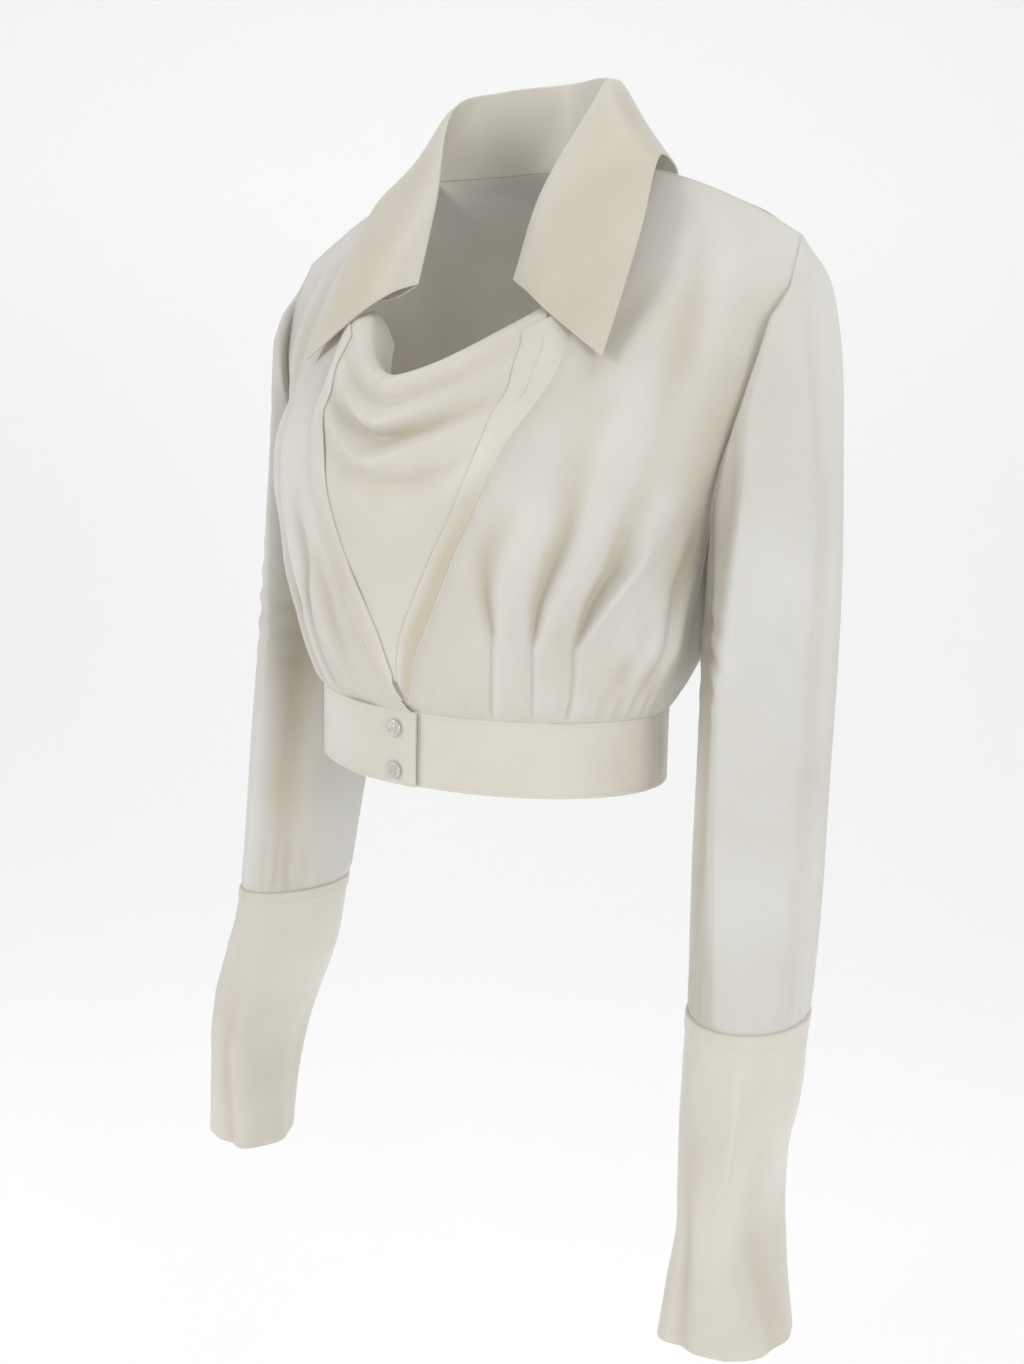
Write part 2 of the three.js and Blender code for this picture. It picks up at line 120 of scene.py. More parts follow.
def foldHeight(folds, share, z, length, closed=False):
    # each fold is a valley with a softer crest on its far side, placed by its share of the way across
    total = np.zeros_like(z)
    for fold in folds:
        at, width, depth = (np.interp(z, fold["z"], fold[key]) for key in ("at", "width", "depth"))
        away = share - at
        if closed:
            away = (away + 0.5) % 1 - 0.5
        s = away * length / width
        valley = np.exp(-(np.abs(s) ** fold.get("power", 2)))
        total += depth * (fold.get("crest", 0.8) * np.exp(-(((s - 1.6) / 1.3) ** 2)) - valley)
        if "stitched" in fold:
            # a pressed edge that stands over the cloth beside it, below the end of the stitching
            pressed = ease(away * length, -0.7, 0.7) * (1 - ease(away * length, 3, tuckStitch["fades"]))
            held = 1 - ease(z, tuckStitch["top"] - 4, tuckStitch["top"] + 10)
            total += tuckStitch["step"] * pressed * held
    return total


# meshes

def addMesh(name, verts, faces, material):
    mesh = bpy.data.meshes.new(name)
    mesh.from_pydata([tuple(v) for v in np.asarray(verts) * mm], [], faces)
    mesh.update()
    mesh.polygons.foreach_set("use_smooth", [True] * len(mesh.polygons))
    piece = bpy.data.objects.new(name, mesh)
    bpy.context.scene.collection.objects.link(piece)
    piece.data.materials.append(material)
    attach(piece, "root")
    return piece


def shellOf(grid, thickness, closed=False):
    # two faces of cloth and the rims between them
    rows, columns = grid.shape[:2]
    normal = outward(grid, closed)
    half = np.broadcast_to(np.asarray(thickness, float), (rows, columns))[..., None] / 2
    verts = np.concatenate([(grid + normal * half).reshape(-1, 3), (grid - normal * half).reshape(-1, 3)])
    layer = rows * columns
    faces, sharpEdges = [], []
    last = columns if closed else columns - 1
    for j in range(rows - 1):
        for i in range(last):
            k = (i + 1) % columns
            a, b, c, d = j * columns + i, j * columns + k, (j + 1) * columns + k, (j + 1) * columns + i
            faces.append((a, b, c, d))
            faces.append((layer + d, layer + c, layer + b, layer + a))
    for i in range(last):
        k = (i + 1) % columns
        top = (rows - 1) * columns
        faces.append((layer + i, layer + k, k, i))
        faces.append((top + i, top + k, layer + top + k, layer + top + i))
        sharpEdges += [(i, k), (layer + i, layer + k), (top + i, top + k), (layer + top + i, layer + top + k)]
    if not closed:
        for j in range(rows - 1):
            a, d = j * columns, (j + 1) * columns
            b, c = a + columns - 1, d + columns - 1
            faces.append((a, d, layer + d, layer + a))
            faces.append((b, layer + b, layer + c, c))
            sharpEdges += [(a, d), (layer + a, layer + d), (b, c), (layer + b, layer + c)]
    return verts, faces, sharpEdges


def clothPiece(name, grid, cloth, nodes, closed=False, mirror=False, shade=None):
    grid = np.asarray(grid, float)
    verts, faces, sharpEdges = shellOf(grid, cloth["thickness"], closed)
    if mirror:
        verts = verts * [-1, 1, 1]
        faces = [face[::-1] for face in faces]
    piece = addMesh(name, verts, faces, cloth["material"])
    mesh = piece.data
    keys = {tuple(sorted(pair)) for pair in sharpEdges}
    sharp = [tuple(sorted(edge.vertices)) in keys for edge in mesh.edges]
    attribute = mesh.attributes.new("sharp_edge", "BOOLEAN", "EDGE")
    attribute.data.foreach_set("value", sharp)
    addWeaveMap(piece, grid, closed)
    if shade is not None:
        # painted shade: how deep in a fold or in shade the cloth lies, painted as a warmer and darker colour
        tone = mesh.attributes.new("paintedShade", "FLOAT", "POINT")
        tone.data.foreach_set("value", np.tile(np.clip(shade, -1, 1).ravel(), 2))
    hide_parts(*nodes)
    return piece


def addWeaveMap(piece, grid, closed):
    # a map in metres of cloth, so that a weave keeps its size
    rows, columns = grid.shape[:2]
    acrossStep = np.linalg.norm(np.diff(grid, axis=1), axis=2).mean() * mm
    upStep = np.linalg.norm(np.diff(grid, axis=0), axis=2).mean() * mm
    layer = piece.data.uv_layers.new(name="weave")
    loopVerts = np.empty(len(piece.data.loops), int)
    piece.data.loops.foreach_get("vertex_index", loopVerts)
    local = loopVerts % (rows * columns)
    coords = np.stack([(local % columns) * acrossStep, (local // columns) * upStep], axis=1)
    layer.data.foreach_set("uv", coords.ravel())


def tubeAlong(points, radius, sides=6, loop=False):
    points = np.asarray(points, float)
    ahead = np.roll(points, -1, 0) - np.roll(points, 1, 0) if loop else np.gradient(points, axis=0)
    ahead /= np.maximum(np.linalg.norm(ahead, axis=1, keepdims=True), 1e-9)
    aside = np.cross(ahead, [0.31, 0.17, 0.93])
    aside /= np.maximum(np.linalg.norm(aside, axis=1, keepdims=True), 1e-9)
    over = np.cross(ahead, aside)
    angles = np.arange(sides) * math.tau / sides
    rings = [points + radius * (math.cos(a) * aside + math.sin(a) * over) for a in angles]
    verts = np.stack(rings, axis=1).reshape(-1, 3)
    faces = []
    count = len(points)
    for j in range(count if loop else count - 1):
        for i in range(sides):
            k, n = (i + 1) % sides, (j + 1) % count
            faces.append((j * sides + i, j * sides + k, n * sides + k, n * sides + i))
    if not loop:
        faces.append(tuple(range(sides))[::-1])
        faces.append(tuple((count - 1) * sides + i for i in range(sides)))
    return verts, faces


def joined(parts):
    verts, faces, start = [], [], 0
    for partVerts, partFaces in parts:
        verts.append(partVerts)
        faces += [tuple(index + start for index in face) for face in partFaces]
        start += len(partVerts)
    return np.concatenate(verts), faces


def stitchesAlong(points, lift, stitch):
    # one short thread for each stitch, laid on the cloth
    points = np.asarray(points, float)
    lengths = np.concatenate([[0], np.cumsum(np.linalg.norm(np.diff(points, axis=0), axis=1))])
    count = max(int(lengths[-1] / stitch["pitch"]), 1)
    parts = []
    for k in range(count):
        middle = (k + 0.5) * lengths[-1] / count
        ends = np.array([middle - stitch["length"] / 2, middle, middle + stitch["length"] / 2])
        spot = np.stack([np.interp(ends, lengths, points[:, c]) for c in range(3)], axis=1)
        away = np.stack([np.interp(ends, lengths, lift[:, c]) for c in range(3)], axis=1)
        spot += away * (np.array([0.15, 0.6, 0.15]) * stitch["radius"])[:, None]
        parts.append(tubeAlong(spot, stitch["radius"], 5))
    return joined(parts)


# materials

def newMaterial(name):
    material = bpy.data.materials.new(name)
    material.use_nodes = True
    nodes = material.node_tree.nodes
    return material, nodes, material.node_tree.links, nodes["Principled BSDF"]


# what both silks share, with the warm darker colour of the painted shade
silkBase = {
    "slubStretch": (900, 60, 1), "paintedShadeColor": (0.80, 0.735, 0.61), "bumpDistance": 0.0004, "glossRange": 0.06,
    "sheenRoughness": 0.4, "glowRadius": (1, 0.85, 0.6), "glowScale": 0.002,
}


def silkMaterial(name, silk):
    material, nodes, links, shader = newMaterial(name)
    weaveMap = nodes.new("ShaderNodeUVMap")
    weaveMap.uv_map = "weave"
    place = nodes.new("ShaderNodeTexCoord")

    # slow change of tone over the cloth, then fine slubs along the yarn
    cloud = nodes.new("ShaderNodeTexNoise")
    cloud.inputs["Scale"].default_value = silk["cloudScale"]
    cloud.inputs["Detail"].default_value = 3
    links.new(place.outputs["Object"], cloud.inputs["Vector"])
    stretch = nodes.new("ShaderNodeMapping")
    stretch.inputs["Scale"].default_value = silkBase["slubStretch"]
    links.new(weaveMap.outputs["UV"], stretch.inputs["Vector"])
    slub = nodes.new("ShaderNodeTexNoise")
    slub.inputs["Scale"].default_value = 1
    slub.inputs["Detail"].default_value = 2
    links.new(stretch.outputs["Vector"], slub.inputs["Vector"])
    blend = nodes.new("ShaderNodeMath")
    blend.operation = "MULTIPLY_ADD"
    blend.inputs[1].default_value = silk["slub"]
    links.new(slub.outputs["Fac"], blend.inputs[0])
    links.new(cloud.outputs["Fac"], blend.inputs[2])
    tones = nodes.new("ShaderNodeValToRGB")
    tones.color_ramp.elements[0].position = 0.35
    tones.color_ramp.elements[0].color = (*silk["shade"], 1)
    tones.color_ramp.elements[1].position = 0.75
    tones.color_ramp.elements[1].color = (*silk["light"], 1)
    links.new(blend.outputs["Value"], tones.inputs["Fac"])
    # painted shade: an attribute per point multiplies the colour towards a warm darker colour
    depth = nodes.new("ShaderNodeAttribute")
    depth.attribute_name = "paintedShade"
    paintedShadeFactor = nodes.new("ShaderNodeMapRange")
    paintedShadeFactor.inputs["To Max"].default_value = silk["paintedShadeTint"]
    links.new(depth.outputs["Fac"], paintedShadeFactor.inputs["Value"])
    paintedShadeMix = nodes.new("ShaderNodeMix")
    paintedShadeMix.data_type = "RGBA"
    paintedShadeMix.blend_type = "MULTIPLY"
    paintedShadeMix.inputs["B"].default_value = (*silkBase["paintedShadeColor"], 1)
    links.new(paintedShadeFactor.outputs["Result"], paintedShadeMix.inputs["Factor"])
    links.new(tones.outputs["Color"], paintedShadeMix.inputs["A"])
    links.new(paintedShadeMix.outputs["Result"], shader.inputs["Base Color"])

    # weave and grain as bump
    warp, weft = (nodes.new("ShaderNodeTexWave") for _ in range(2))
    for wave, direction in ((warp, "X"), (weft, "Y")):
        wave.bands_direction = direction
        wave.inputs["Scale"].default_value = 0.314 / silk["yarn"]
        wave.inputs["Distortion"].default_value = 1.5
        wave.inputs["Detail"].default_value = 1
        links.new(weaveMap.outputs["UV"], wave.inputs["Vector"])
    weave = nodes.new("ShaderNodeMath")
    weave.operation = "MULTIPLY"
    links.new(warp.outputs["Fac"], weave.inputs[0])
    links.new(weft.outputs["Fac"], weave.inputs[1])
    grain = nodes.new("ShaderNodeTexNoise")
    grain.inputs["Scale"].default_value = silk["grainScale"]
    grain.inputs["Detail"].default_value = 4
    links.new(place.outputs["Object"], grain.inputs["Vector"])
    relief = nodes.new("ShaderNodeMath")
    relief.operation = "MULTIPLY_ADD"
    relief.inputs[1].default_value = silk["weaveShare"]
    links.new(weave.outputs["Value"], relief.inputs[0])
    links.new(grain.outputs["Fac"], relief.inputs[2])
    bump = nodes.new("ShaderNodeBump")
    bump.inputs["Strength"].default_value = silk["bump"]
    bump.inputs["Distance"].default_value = silkBase["bumpDistance"]
    links.new(relief.outputs["Value"], bump.inputs["Height"])
    links.new(bump.outputs["Normal"], shader.inputs["Normal"])

    # gloss that wanders a little
    gloss = nodes.new("ShaderNodeMapRange")
    gloss.inputs["From Min"].default_value = 0.3
    gloss.inputs["From Max"].default_value = 0.8
    gloss.inputs["To Min"].default_value = silk["roughness"] - silkBase["glossRange"]
    gloss.inputs["To Max"].default_value = silk["roughness"] + silkBase["glossRange"]
    links.new(cloud.outputs["Fac"], gloss.inputs["Value"])
    links.new(gloss.outputs["Result"], shader.inputs["Roughness"])
    shader.inputs["Sheen Weight"].default_value = silk["sheen"]
    shader.inputs["Sheen Roughness"].default_value = silkBase["sheenRoughness"]
    shader.inputs["Specular IOR Level"].default_value = silk["specular"]
    shader.inputs["Subsurface Weight"].default_value = silk["glow"]
    shader.inputs["Subsurface Radius"].default_value = silkBase["glowRadius"]
    shader.inputs["Subsurface Scale"].default_value = silkBase["glowScale"]
    shader.inputs["Alpha"].default_value = silk["cover"]
    return material


# painted shade: the last setting of each look is how strongly its painted shade darkens it
chiffonLook = {
    "shade": (0.70, 0.675, 0.615), "light": (0.80, 0.785, 0.74), "cloudScale": 7, "slub": 0.12,
    "yarn": 0.0007, "grainScale": 1300, "weaveShare": 0.6, "bump": 0.3, "roughness": 0.6, "sheen": 0.2,
    "specular": 0.25, "glow": 0.25, "cover": 0.82, "paintedShadeTint": 0.75,
}
satinLook = {
    "shade": (0.61, 0.58, 0.50), "light": (0.70, 0.675, 0.60), "cloudScale": 9, "slub": 0.08, "yarn": 0.0005,
    "grainScale": 1700, "weaveShare": 0.35, "bump": 0.2, "roughness": 0.38, "sheen": 0.25,
    "specular": 0.4, "glow": 0.1, "cover": 1, "paintedShadeTint": 0.8,
}
chiffon = {"material": silkMaterial("sheerSilk", chiffonLook), "slot": "sheer_silk", "thickness": 0.7}
satin = {"material": silkMaterial("creamSatin", satinLook), "slot": "cream_satin", "thickness": 1.0}
bandSatin = {**satin, "thickness": 1.8}
threadLook = {**satinLook, "shade": (0.74, 0.70, 0.58), "light": (0.86, 0.83, 0.72), "bump": 0.1}
thread = silkMaterial("silkThread", threadLook)
print("silks ready")


# fronts

frontCut = {
    "edgeX": [6, 9, 30, 54, 70, 81, 94, 97, 90],
    "edgeZ": [-342, -326, -290, -240, -204, -168, -130, -88, -36],
    "sideX": [134, 140, 154, 156, 156, 174, 194, 206, 211],
    "sideY": [-23, -22, -18, -13, -8, -26, -28, -22, -9],
    "sideZ": [-342, -333, -302, -264, -229, -183, -140, -104, -68],
    "depth": [121, 126, 138, 144, 144, 134, 108, 82, 47],
    "turn": [90, 90, 88, 86, 84, 70, 55, 45, 35],
    "armpitRow": 4, "columns": 201, "rows": 151, "relax": 34, "wave": 1.5, "waveReach": 50,
}
# the fullest part of the front, and how much painted shade lies around it
fullness = {"x": 118, "z": -192, "height": 17, "reachX": 46, "reachZ": 62, "tone": 0.4}
shoulder = {"neck": (78, 0, 14), "tip": (209, 7, -37), "crown": 7.5}
closing = {"leftEdge": 3, "rightEdge": -14, "lifts": [3.6, 2.2], "liftReach": 40}

# stitched tucks at the waist with the folds that they let go, then the softer folds of the chest and side
leftFolds = [
    {"z": [-342, -292, -280, -258, -236, -198], "at": [0.33, 0.245, 0.22, 0.16, 0.12, 0.1],
     "depth": [0.8, 1.3, 4, 6, 5, 0], "width": [1.6, 1.8, 3.2, 5, 7, 11], "stitched": True},
    {"z": [-342, -292, -280, -262, -234, -210, -186, -150, -105],
     "at": [0.465, 0.37, 0.357, 0.341, 0.341, 0.341, 0.341, 0.32, 0.27],
     "depth": [0.8, 1.3, 5, 8, 9, 8, 5.5, 3, 0], "width": [1.6, 1.8, 3.4, 5.4, 8, 10, 12, 14, 15],
     "stitched": True},
    {"z": [-342, -292, -280, -262, -241, -212, -186, -160],
     "at": [0.585, 0.505, 0.51, 0.527, 0.565, 0.56, 0.59, 0.6],
     "depth": [0.8, 1.3, 5, 8.5, 8, 5, 2.4, 0], "width": [1.6, 1.8, 3.4, 5.4, 7.5, 10, 13, 14],
     "stitched": True},
    {"z": [-186, -150, -114, -78, -46, -20], "at": [0.615, 0.604, 0.593, 0.549, 0.527, 0.5],
     "depth": [0, 2, 3.4, 3.4, 2, 0], "width": [10, 10, 9, 9, 9, 9], "crest": 0.5},
    {"z": [-326, -300, -275, -250, -228, -200], "at": [0.85, 0.857, 0.868, 0.89, 0.92, 0.94],
     "depth": [0, 4.5, 5.5, 5, 3, 0], "width": [5, 6, 7, 7, 7, 7], "crest": 0.7},
    {"z": [-330, -305, -280, -255], "at": [0.72, 0.71, 0.72, 0.74], "depth": [0, 3.4, 3, 0],
     "width": [5, 6, 7, 8], "crest": 0.7},
    {"z": [-160, -120, -90, -60], "at": [0.16, 0.2, 0.24, 0.3], "depth": [0, 1.8, 2, 0],
     "width": [9, 10, 10, 10]},
]
rightFolds = [
    {"z": [-342, -292, -280, -258, -232, -190], "at": [0.34, 0.26, 0.235, 0.19, 0.15, 0.13],
     "depth": [0.8, 1.3, 4, 6.5, 5.5, 0], "width": [1.6, 1.8, 3.2, 5, 7, 11], "stitched": True},
    {"z": [-342, -292, -280, -262, -234, -205, -180, -130],
     "at": [0.47, 0.38, 0.365, 0.345, 0.34, 0.34, 0.33, 0.3], "depth": [0.8, 1.3, 5, 7.5, 8, 7, 4.5, 0],
     "width": [1.6, 1.8, 3.4, 5.4, 8, 10, 12, 14], "stitched": True},
    {"z": [-342, -292, -280, -262, -238, -205, -170],
     "at": [0.585, 0.51, 0.515, 0.53, 0.56, 0.57, 0.58], "depth": [0.8, 1.3, 5, 8, 7, 4, 0],
     "width": [1.6, 1.8, 3.4, 5.4, 7.5, 10, 13], "stitched": True},
    {"z": [-330, -300, -262, -230], "at": [0.16, 0.12, 0.1, 0.08], "depth": [0, 2.6, 3.2, 0],
     "width": [5, 6, 8, 9]},
    {"z": [-180, -140, -100, -50, -20], "at": [0.6, 0.6, 0.58, 0.53, 0.5],
     "depth": [0, 2.4, 3.2, 2.4, 0], "width": [10, 10, 9, 9, 9], "crest": 0.5},
    {"z": [-322, -296, -265, -235, -205], "at": [0.84, 0.85, 0.87, 0.9, 0.93], "depth": [0, 4, 5, 4, 0],
     "width": [5, 6, 7, 7, 7], "crest": 0.7},
]
tuckStitch = {"step": 1.7, "top": -290, "fades": 22}
blousing = {"z": -291, "above": 26, "below": 12, "height": 8, "from": 0.6, "to": 0.8}
gathers = {"z": -336, "reach": 15, "height": 0.9, "step": 11}
edgeRoll = {"depth": 3.2, "width": 6}
# painted shade by the armpit
armpitShade = {"z": -205, "reach": 70, "width": 36, "tone": 0.8}


def sectionArc(cut, row, frontOrBack, share):
    turn = math.radians(cut["turn"][row])
    angle = share * turn
    centreY = frontOrBack * cut["depth"][row]
    across = cut["sideX"][row] * np.sin(angle) / math.sin(turn)
    deep = centreY + (cut["sideY"][row] - centreY) * (1 - np.cos(angle)) / (1 - math.cos(turn))
    return across, deep


def shoulderSeam(share):
    neck, tip = np.array(shoulder["neck"], float), np.array(shoulder["tip"], float)
    points = neck + (tip - neck) * np.asarray(share)[:, None]
    points[:, 2] += 4 * shoulder["crown"] * share * (1 - share)
    return points


def frontSections(rightSide):
    u = np.linspace(0, 1, frontCut["columns"])
    sections = []
    for row in range(len(frontCut["edgeX"])):
        edgeX, edgeZ = frontCut["edgeX"][row], frontCut["edgeZ"][row]
        if row == 0:
            edgeX = closing["rightEdge"] if rightSide else closing["leftEdge"]
        turn = math.radians(frontCut["turn"][row])
        first = math.asin(edgeX * math.sin(turn) / frontCut["sideX"][row]) / turn
        across, deep = sectionArc(frontCut, row, -1, between(first, 1, u))
        z = between(edgeZ, frontCut["sideZ"][row], (across - edgeX) / (frontCut["sideX"][row] - edgeX))
        if rightSide and row < len(closing["lifts"]):
            reach = closing["liftReach"]
            deep = deep - closing["lifts"][row] * ease(reach - across, 0, reach)
        sections.append(np.stack([across, deep, z], axis=1))
    sections.append(shoulderSeam(u))
    return sections


def frontGrid(rightSide, folds, seed):
    shares = np.linspace(0, 1, frontCut["rows"])
    grid = relaxed(loft(frontSections(rightSide), shares), frontCut["relax"])
    x, z = grid[..., 0], grid[..., 2]
    u = np.broadcast_to(np.linspace(0, 1, frontCut["columns"]), x.shape)
    v = np.broadcast_to(shares[:, None], x.shape)
    offX, offZ = (x - fullness["x"]) / fullness["reachX"], (z - fullness["z"]) / fullness["reachZ"]
    height = fullness["height"] * np.exp(-(offX**2) - offZ**2)
    length = rowLengths(grid)
    soft = foldHeight(folds, u, z, length)
    # the cloth blouses over the tucked part near the side, with small gathers under it
    drop = z - blousing["z"]
    swell = np.exp(-((drop / np.where(drop > 0, blousing["above"], blousing["below"])) ** 2))
    soft += blousing["height"] * swell * ease(u, blousing["from"], blousing["to"])
    wave = ripple(u * length, z * 0.4, seed, frontCut["waveReach"])
    soft += frontCut["wave"] * wave * ease(z, -330, -280)
    puckers = np.sin(u * length * math.tau / gathers["step"] + 1.6 * np.sin(u * length / 15))
    nearBand = np.exp(-(((z - gathers["z"]) / gathers["reach"]) ** 2))
    soft += gathers["height"] * puckers * nearBand * (0.35 + ease(u, 0.6, 0.75))
    height += soft * ease(z, -342, -334) * ease(1 - u, 0, 0.16)
    rolled = np.exp(-((u * length / edgeRoll["width"]) ** 2)) * (1 - ease(v, 0.66, 0.8)) * ease(z, -342, -318)
    height -= edgeRoll["depth"] * rolled
    height *= ease(z, -343, -336) * (1 - 0.65 * ease(v, 0.93, 1))
    armpit = np.exp(-(((1 - u) * length / armpitShade["width"]) ** 2))
    armpit = armpit * np.exp(-(((z - armpitShade["z"]) / armpitShade["reach"]) ** 2))
    # painted shade: darker and warmer away from the fullest part, by the armpit and in the fold valleys
    dimmer = (1 - np.exp(-0.6 * (offX**2 + offZ**2))) * (1 - ease(z, -90, -40))
    return raised(grid, height), -soft / 7 + armpitShade["tone"] * armpit + fullness["tone"] * dimmer


leftFront, leftShade = frontGrid(False, leftFolds, 3)
rightFront, rightShade = frontGrid(True, rightFolds, 8)
frontLeft = clothPiece("frontLeftPanel", leftFront, chiffon, ["front_left"], shade=leftShade)
frontRight = clothPiece("frontRightPanel", rightFront, chiffon, ["front_right"], mirror=True,
                        shade=rightShade)
print("fronts cut")


# back

backCut = {
    "sideX": [134, 140, 154, 156, 156, 172, 190, 203, 210],
    "sideY": [-23, -22, -18, -13, -5, 35, 50, 50, 33],
    "sideZ": [-342, -333, -302, -264, -229, -183, -140, -100, -60],
    "centreZ": [-342, -332, -303, -262, -215, -165, -115, -65, -18],
    "depth": [76, 80, 93, 97, 99, 101, 100, 92, 76],
    "turn": [90, 90, 92, 94, 95, 70, 60, 50, 40],
    "neckY": 50, "neckZ": 22, "neckShare": 0.36, "columns": 181, "rows": 151, "relax": 34,
    "wave": 1.5, "waveReach": 56, "blousing": 4, "blousingBelow": 13, "gathers": 0.8, "gatherStep": 10.5,
}
backFolds = [
    {"z": [-342, -300, -240, -180], "at": [0.16, 0.18, 0.2, 0.22], "depth": [1, 3, 3, 0],
     "width": [4, 8, 12, 16]},
    {"z": [-342, -300, -240, -160], "at": [0.36, 0.38, 0.42, 0.46], "depth": [1, 3.4, 3.2, 0],
     "width": [4, 8, 12, 18]},
    {"z": [-342, -300, -240, -120], "at": [0.58, 0.6, 0.63, 0.66], "depth": [1, 3, 3, 0],
     "width": [5, 8, 12, 18]},
    {"z": [-220, -170, -120, -70], "at": [0.8, 0.78, 0.78, 0.8], "depth": [0, 2.6, 2.6, 0.6],
     "width": [9, 10, 11, 12]},
    {"z": [-330, -300, -270, -230], "at": [0.86, 0.86, 0.87, 0.88], "depth": [0, 2.6, 2.6, 0],
     "width": [6, 7, 8, 9]},
]


def backSections():
    u = np.linspace(-1, 1, backCut["columns"])
    reach, side = np.abs(u), np.sign(u)
    sections = []
    for row in range(len(backCut["sideX"])):
        across, deep = sectionArc(backCut, row, 1, reach)
        z = between(backCut["centreZ"][row], backCut["sideZ"][row], (across / backCut["sideX"][row]) ** 2)
        sections.append(np.stack([side * across, deep, z], axis=1))
    seam = shoulderSeam(np.clip((reach - backCut["neckShare"]) / (1 - backCut["neckShare"]), 0, 1))
    angle = np.minimum(reach / backCut["neckShare"], 1) * math.pi / 2
    neckX, neckY, neckZ = shoulder["neck"]
    inside = reach < backCut["neckShare"]
    top = np.stack([
        side * np.where(inside, neckX * np.sin(angle), seam[:, 0]),
        np.where(inside, backCut["neckY"] * np.cos(angle) + neckY, seam[:, 1]),
        np.where(inside, between(neckZ, backCut["neckZ"], np.cos(angle)), seam[:, 2]),
    ], axis=1)
    sections.append(top)
    return sections


def backGrid():
    shares = np.linspace(0, 1, backCut["rows"])
    grid = relaxed(loft(backSections(), shares), backCut["relax"])
    x, z = grid[..., 0], grid[..., 2]
    u = np.broadcast_to(np.linspace(-1, 1, backCut["columns"]), x.shape)
    length = rowLengths(grid) / 2
    height = foldHeight(backFolds, np.abs(u), z, length)
    drop = z - blousing["z"]
    reach = np.where(drop > 0, blousing["above"], backCut["blousingBelow"])
    height += backCut["blousing"] * np.exp(-((drop / reach) ** 2))
    height += backCut["wave"] * ripple(x, z * 0.4, 21, backCut["waveReach"]) * ease(z, -330, -280)
    nearBand = np.exp(-(((z - gathers["z"]) / gathers["reach"]) ** 2))
    height += backCut["gathers"] * np.sin(x * math.tau / backCut["gatherStep"]) * nearBand
    height *= ease(z, -342, -334) * ease(1 - np.abs(u), 0, 0.12) * (1 - ease(z, -30, 10))
    # painted shade: the fold valleys are painted darker
    return raised(grid, -height), -height / 7


backPanelGrid, backShade = backGrid()
backPanel = clothPiece("backPanel", backPanelGrid, chiffon, ["back"], shade=backShade)
print("back cut")


# sleeves

sleeveCut = {
    "outerX": [222, 230, 234, 238, 241, 244, 246.2],
    "outerZ": [-60, -115, -190, -280, -380, -465, -531],
    "innerX": [165, 163, 163, 165, 168, 172, 175.8],
    "innerZ": [-238, -262, -292, -335, -395, -460, -527],
    "middleY": [11, 15, 14, 9, 3, -4, -12],
    "halfDepth": [47, 51, 54, 54, 54, 52, 49.2],
    "startShoulder": 0.9, "startUnderarm": 2.2, "innerShade": 0.45, "columns": 120, "rows": 150, "relax": 30,
    "wave": 1.8, "waveReach": 62, "gathers": 20, "gatherHeight": 0.6,
}
elbowBunching = {"z": -300, "reach": 40, "height": 1.1, "step": 21}
# long folds by their place round the sleeve, from 0 at the outside over 0.25 at the front
sleeveFolds = [
    {"z": [-560, -520, -413, -319, -224, -148, -97, -60],
     "at": [0.232, 0.233, 0.25, 0.258, 0.225, 0.208, 0.15, 0.12],
     "depth": [-2, -4, -6.5, -7.5, -7.5, -6.5, -4.4, 0], "width": [8, 9, 11, 12, 12, 11, 10, 9],
     "power": 1.25, "crest": 0.35},
    {"z": [-560, -480, -380, -225, -102, -50], "at": [0.05, 0.04, 0.03, 0.017, 0.067, 0.06],
     "depth": [0.8, 2, 3, 3.4, 2.6, 0], "width": [11, 13, 14, 13, 12, 10]},
    {"z": [-560, -430, -280, -130], "at": [0.37, 0.36, 0.38, 0.37], "depth": [1, 5.5, 6, 0],
     "width": [10, 14, 15, 14]},
    {"z": [-560, -430, -280, -90], "at": [0.6, 0.62, 0.65, 0.68], "depth": [-1.4, -4, -4.4, 0],
     "width": [12, 14, 16, 16], "crest": 0.4},
    {"z": [-560, -430, -260, -80], "at": [0.8, 0.82, 0.85, 0.87], "depth": [1, 3.2, 3.6, 1],
     "width": [12, 14, 16, 16]},
    {"z": [-200, -160, -120, -80], "at": [0.33, 0.3, 0.28, 0.26], "depth": [0, 3.4, 3.4, 0],
     "width": [7, 8, 8, 8]},
]


def armholeCurve(front):
    # from the shoulder down the front edge to the armpit, then up the back edge
    armpitShare = frontCut["armpitRow"] / len(frontCut["edgeX"])
    half = sleeveCut["columns"] // 2
    down = between(1, armpitShare, np.arange(half) / half)
    up = between(armpitShare, 1, np.arange(half) / half)
    rows = np.linspace(0, 1, frontCut["rows"])
    frontEdge = np.stack([np.interp(down, rows, front[:, -1, c]) for c in range(3)], axis=1)
    backEdge = np.stack([np.interp(up, rows, backPanelGrid[:, -1, c]) for c in range(3)], axis=1)
    return np.concatenate([frontEdge, backEdge])


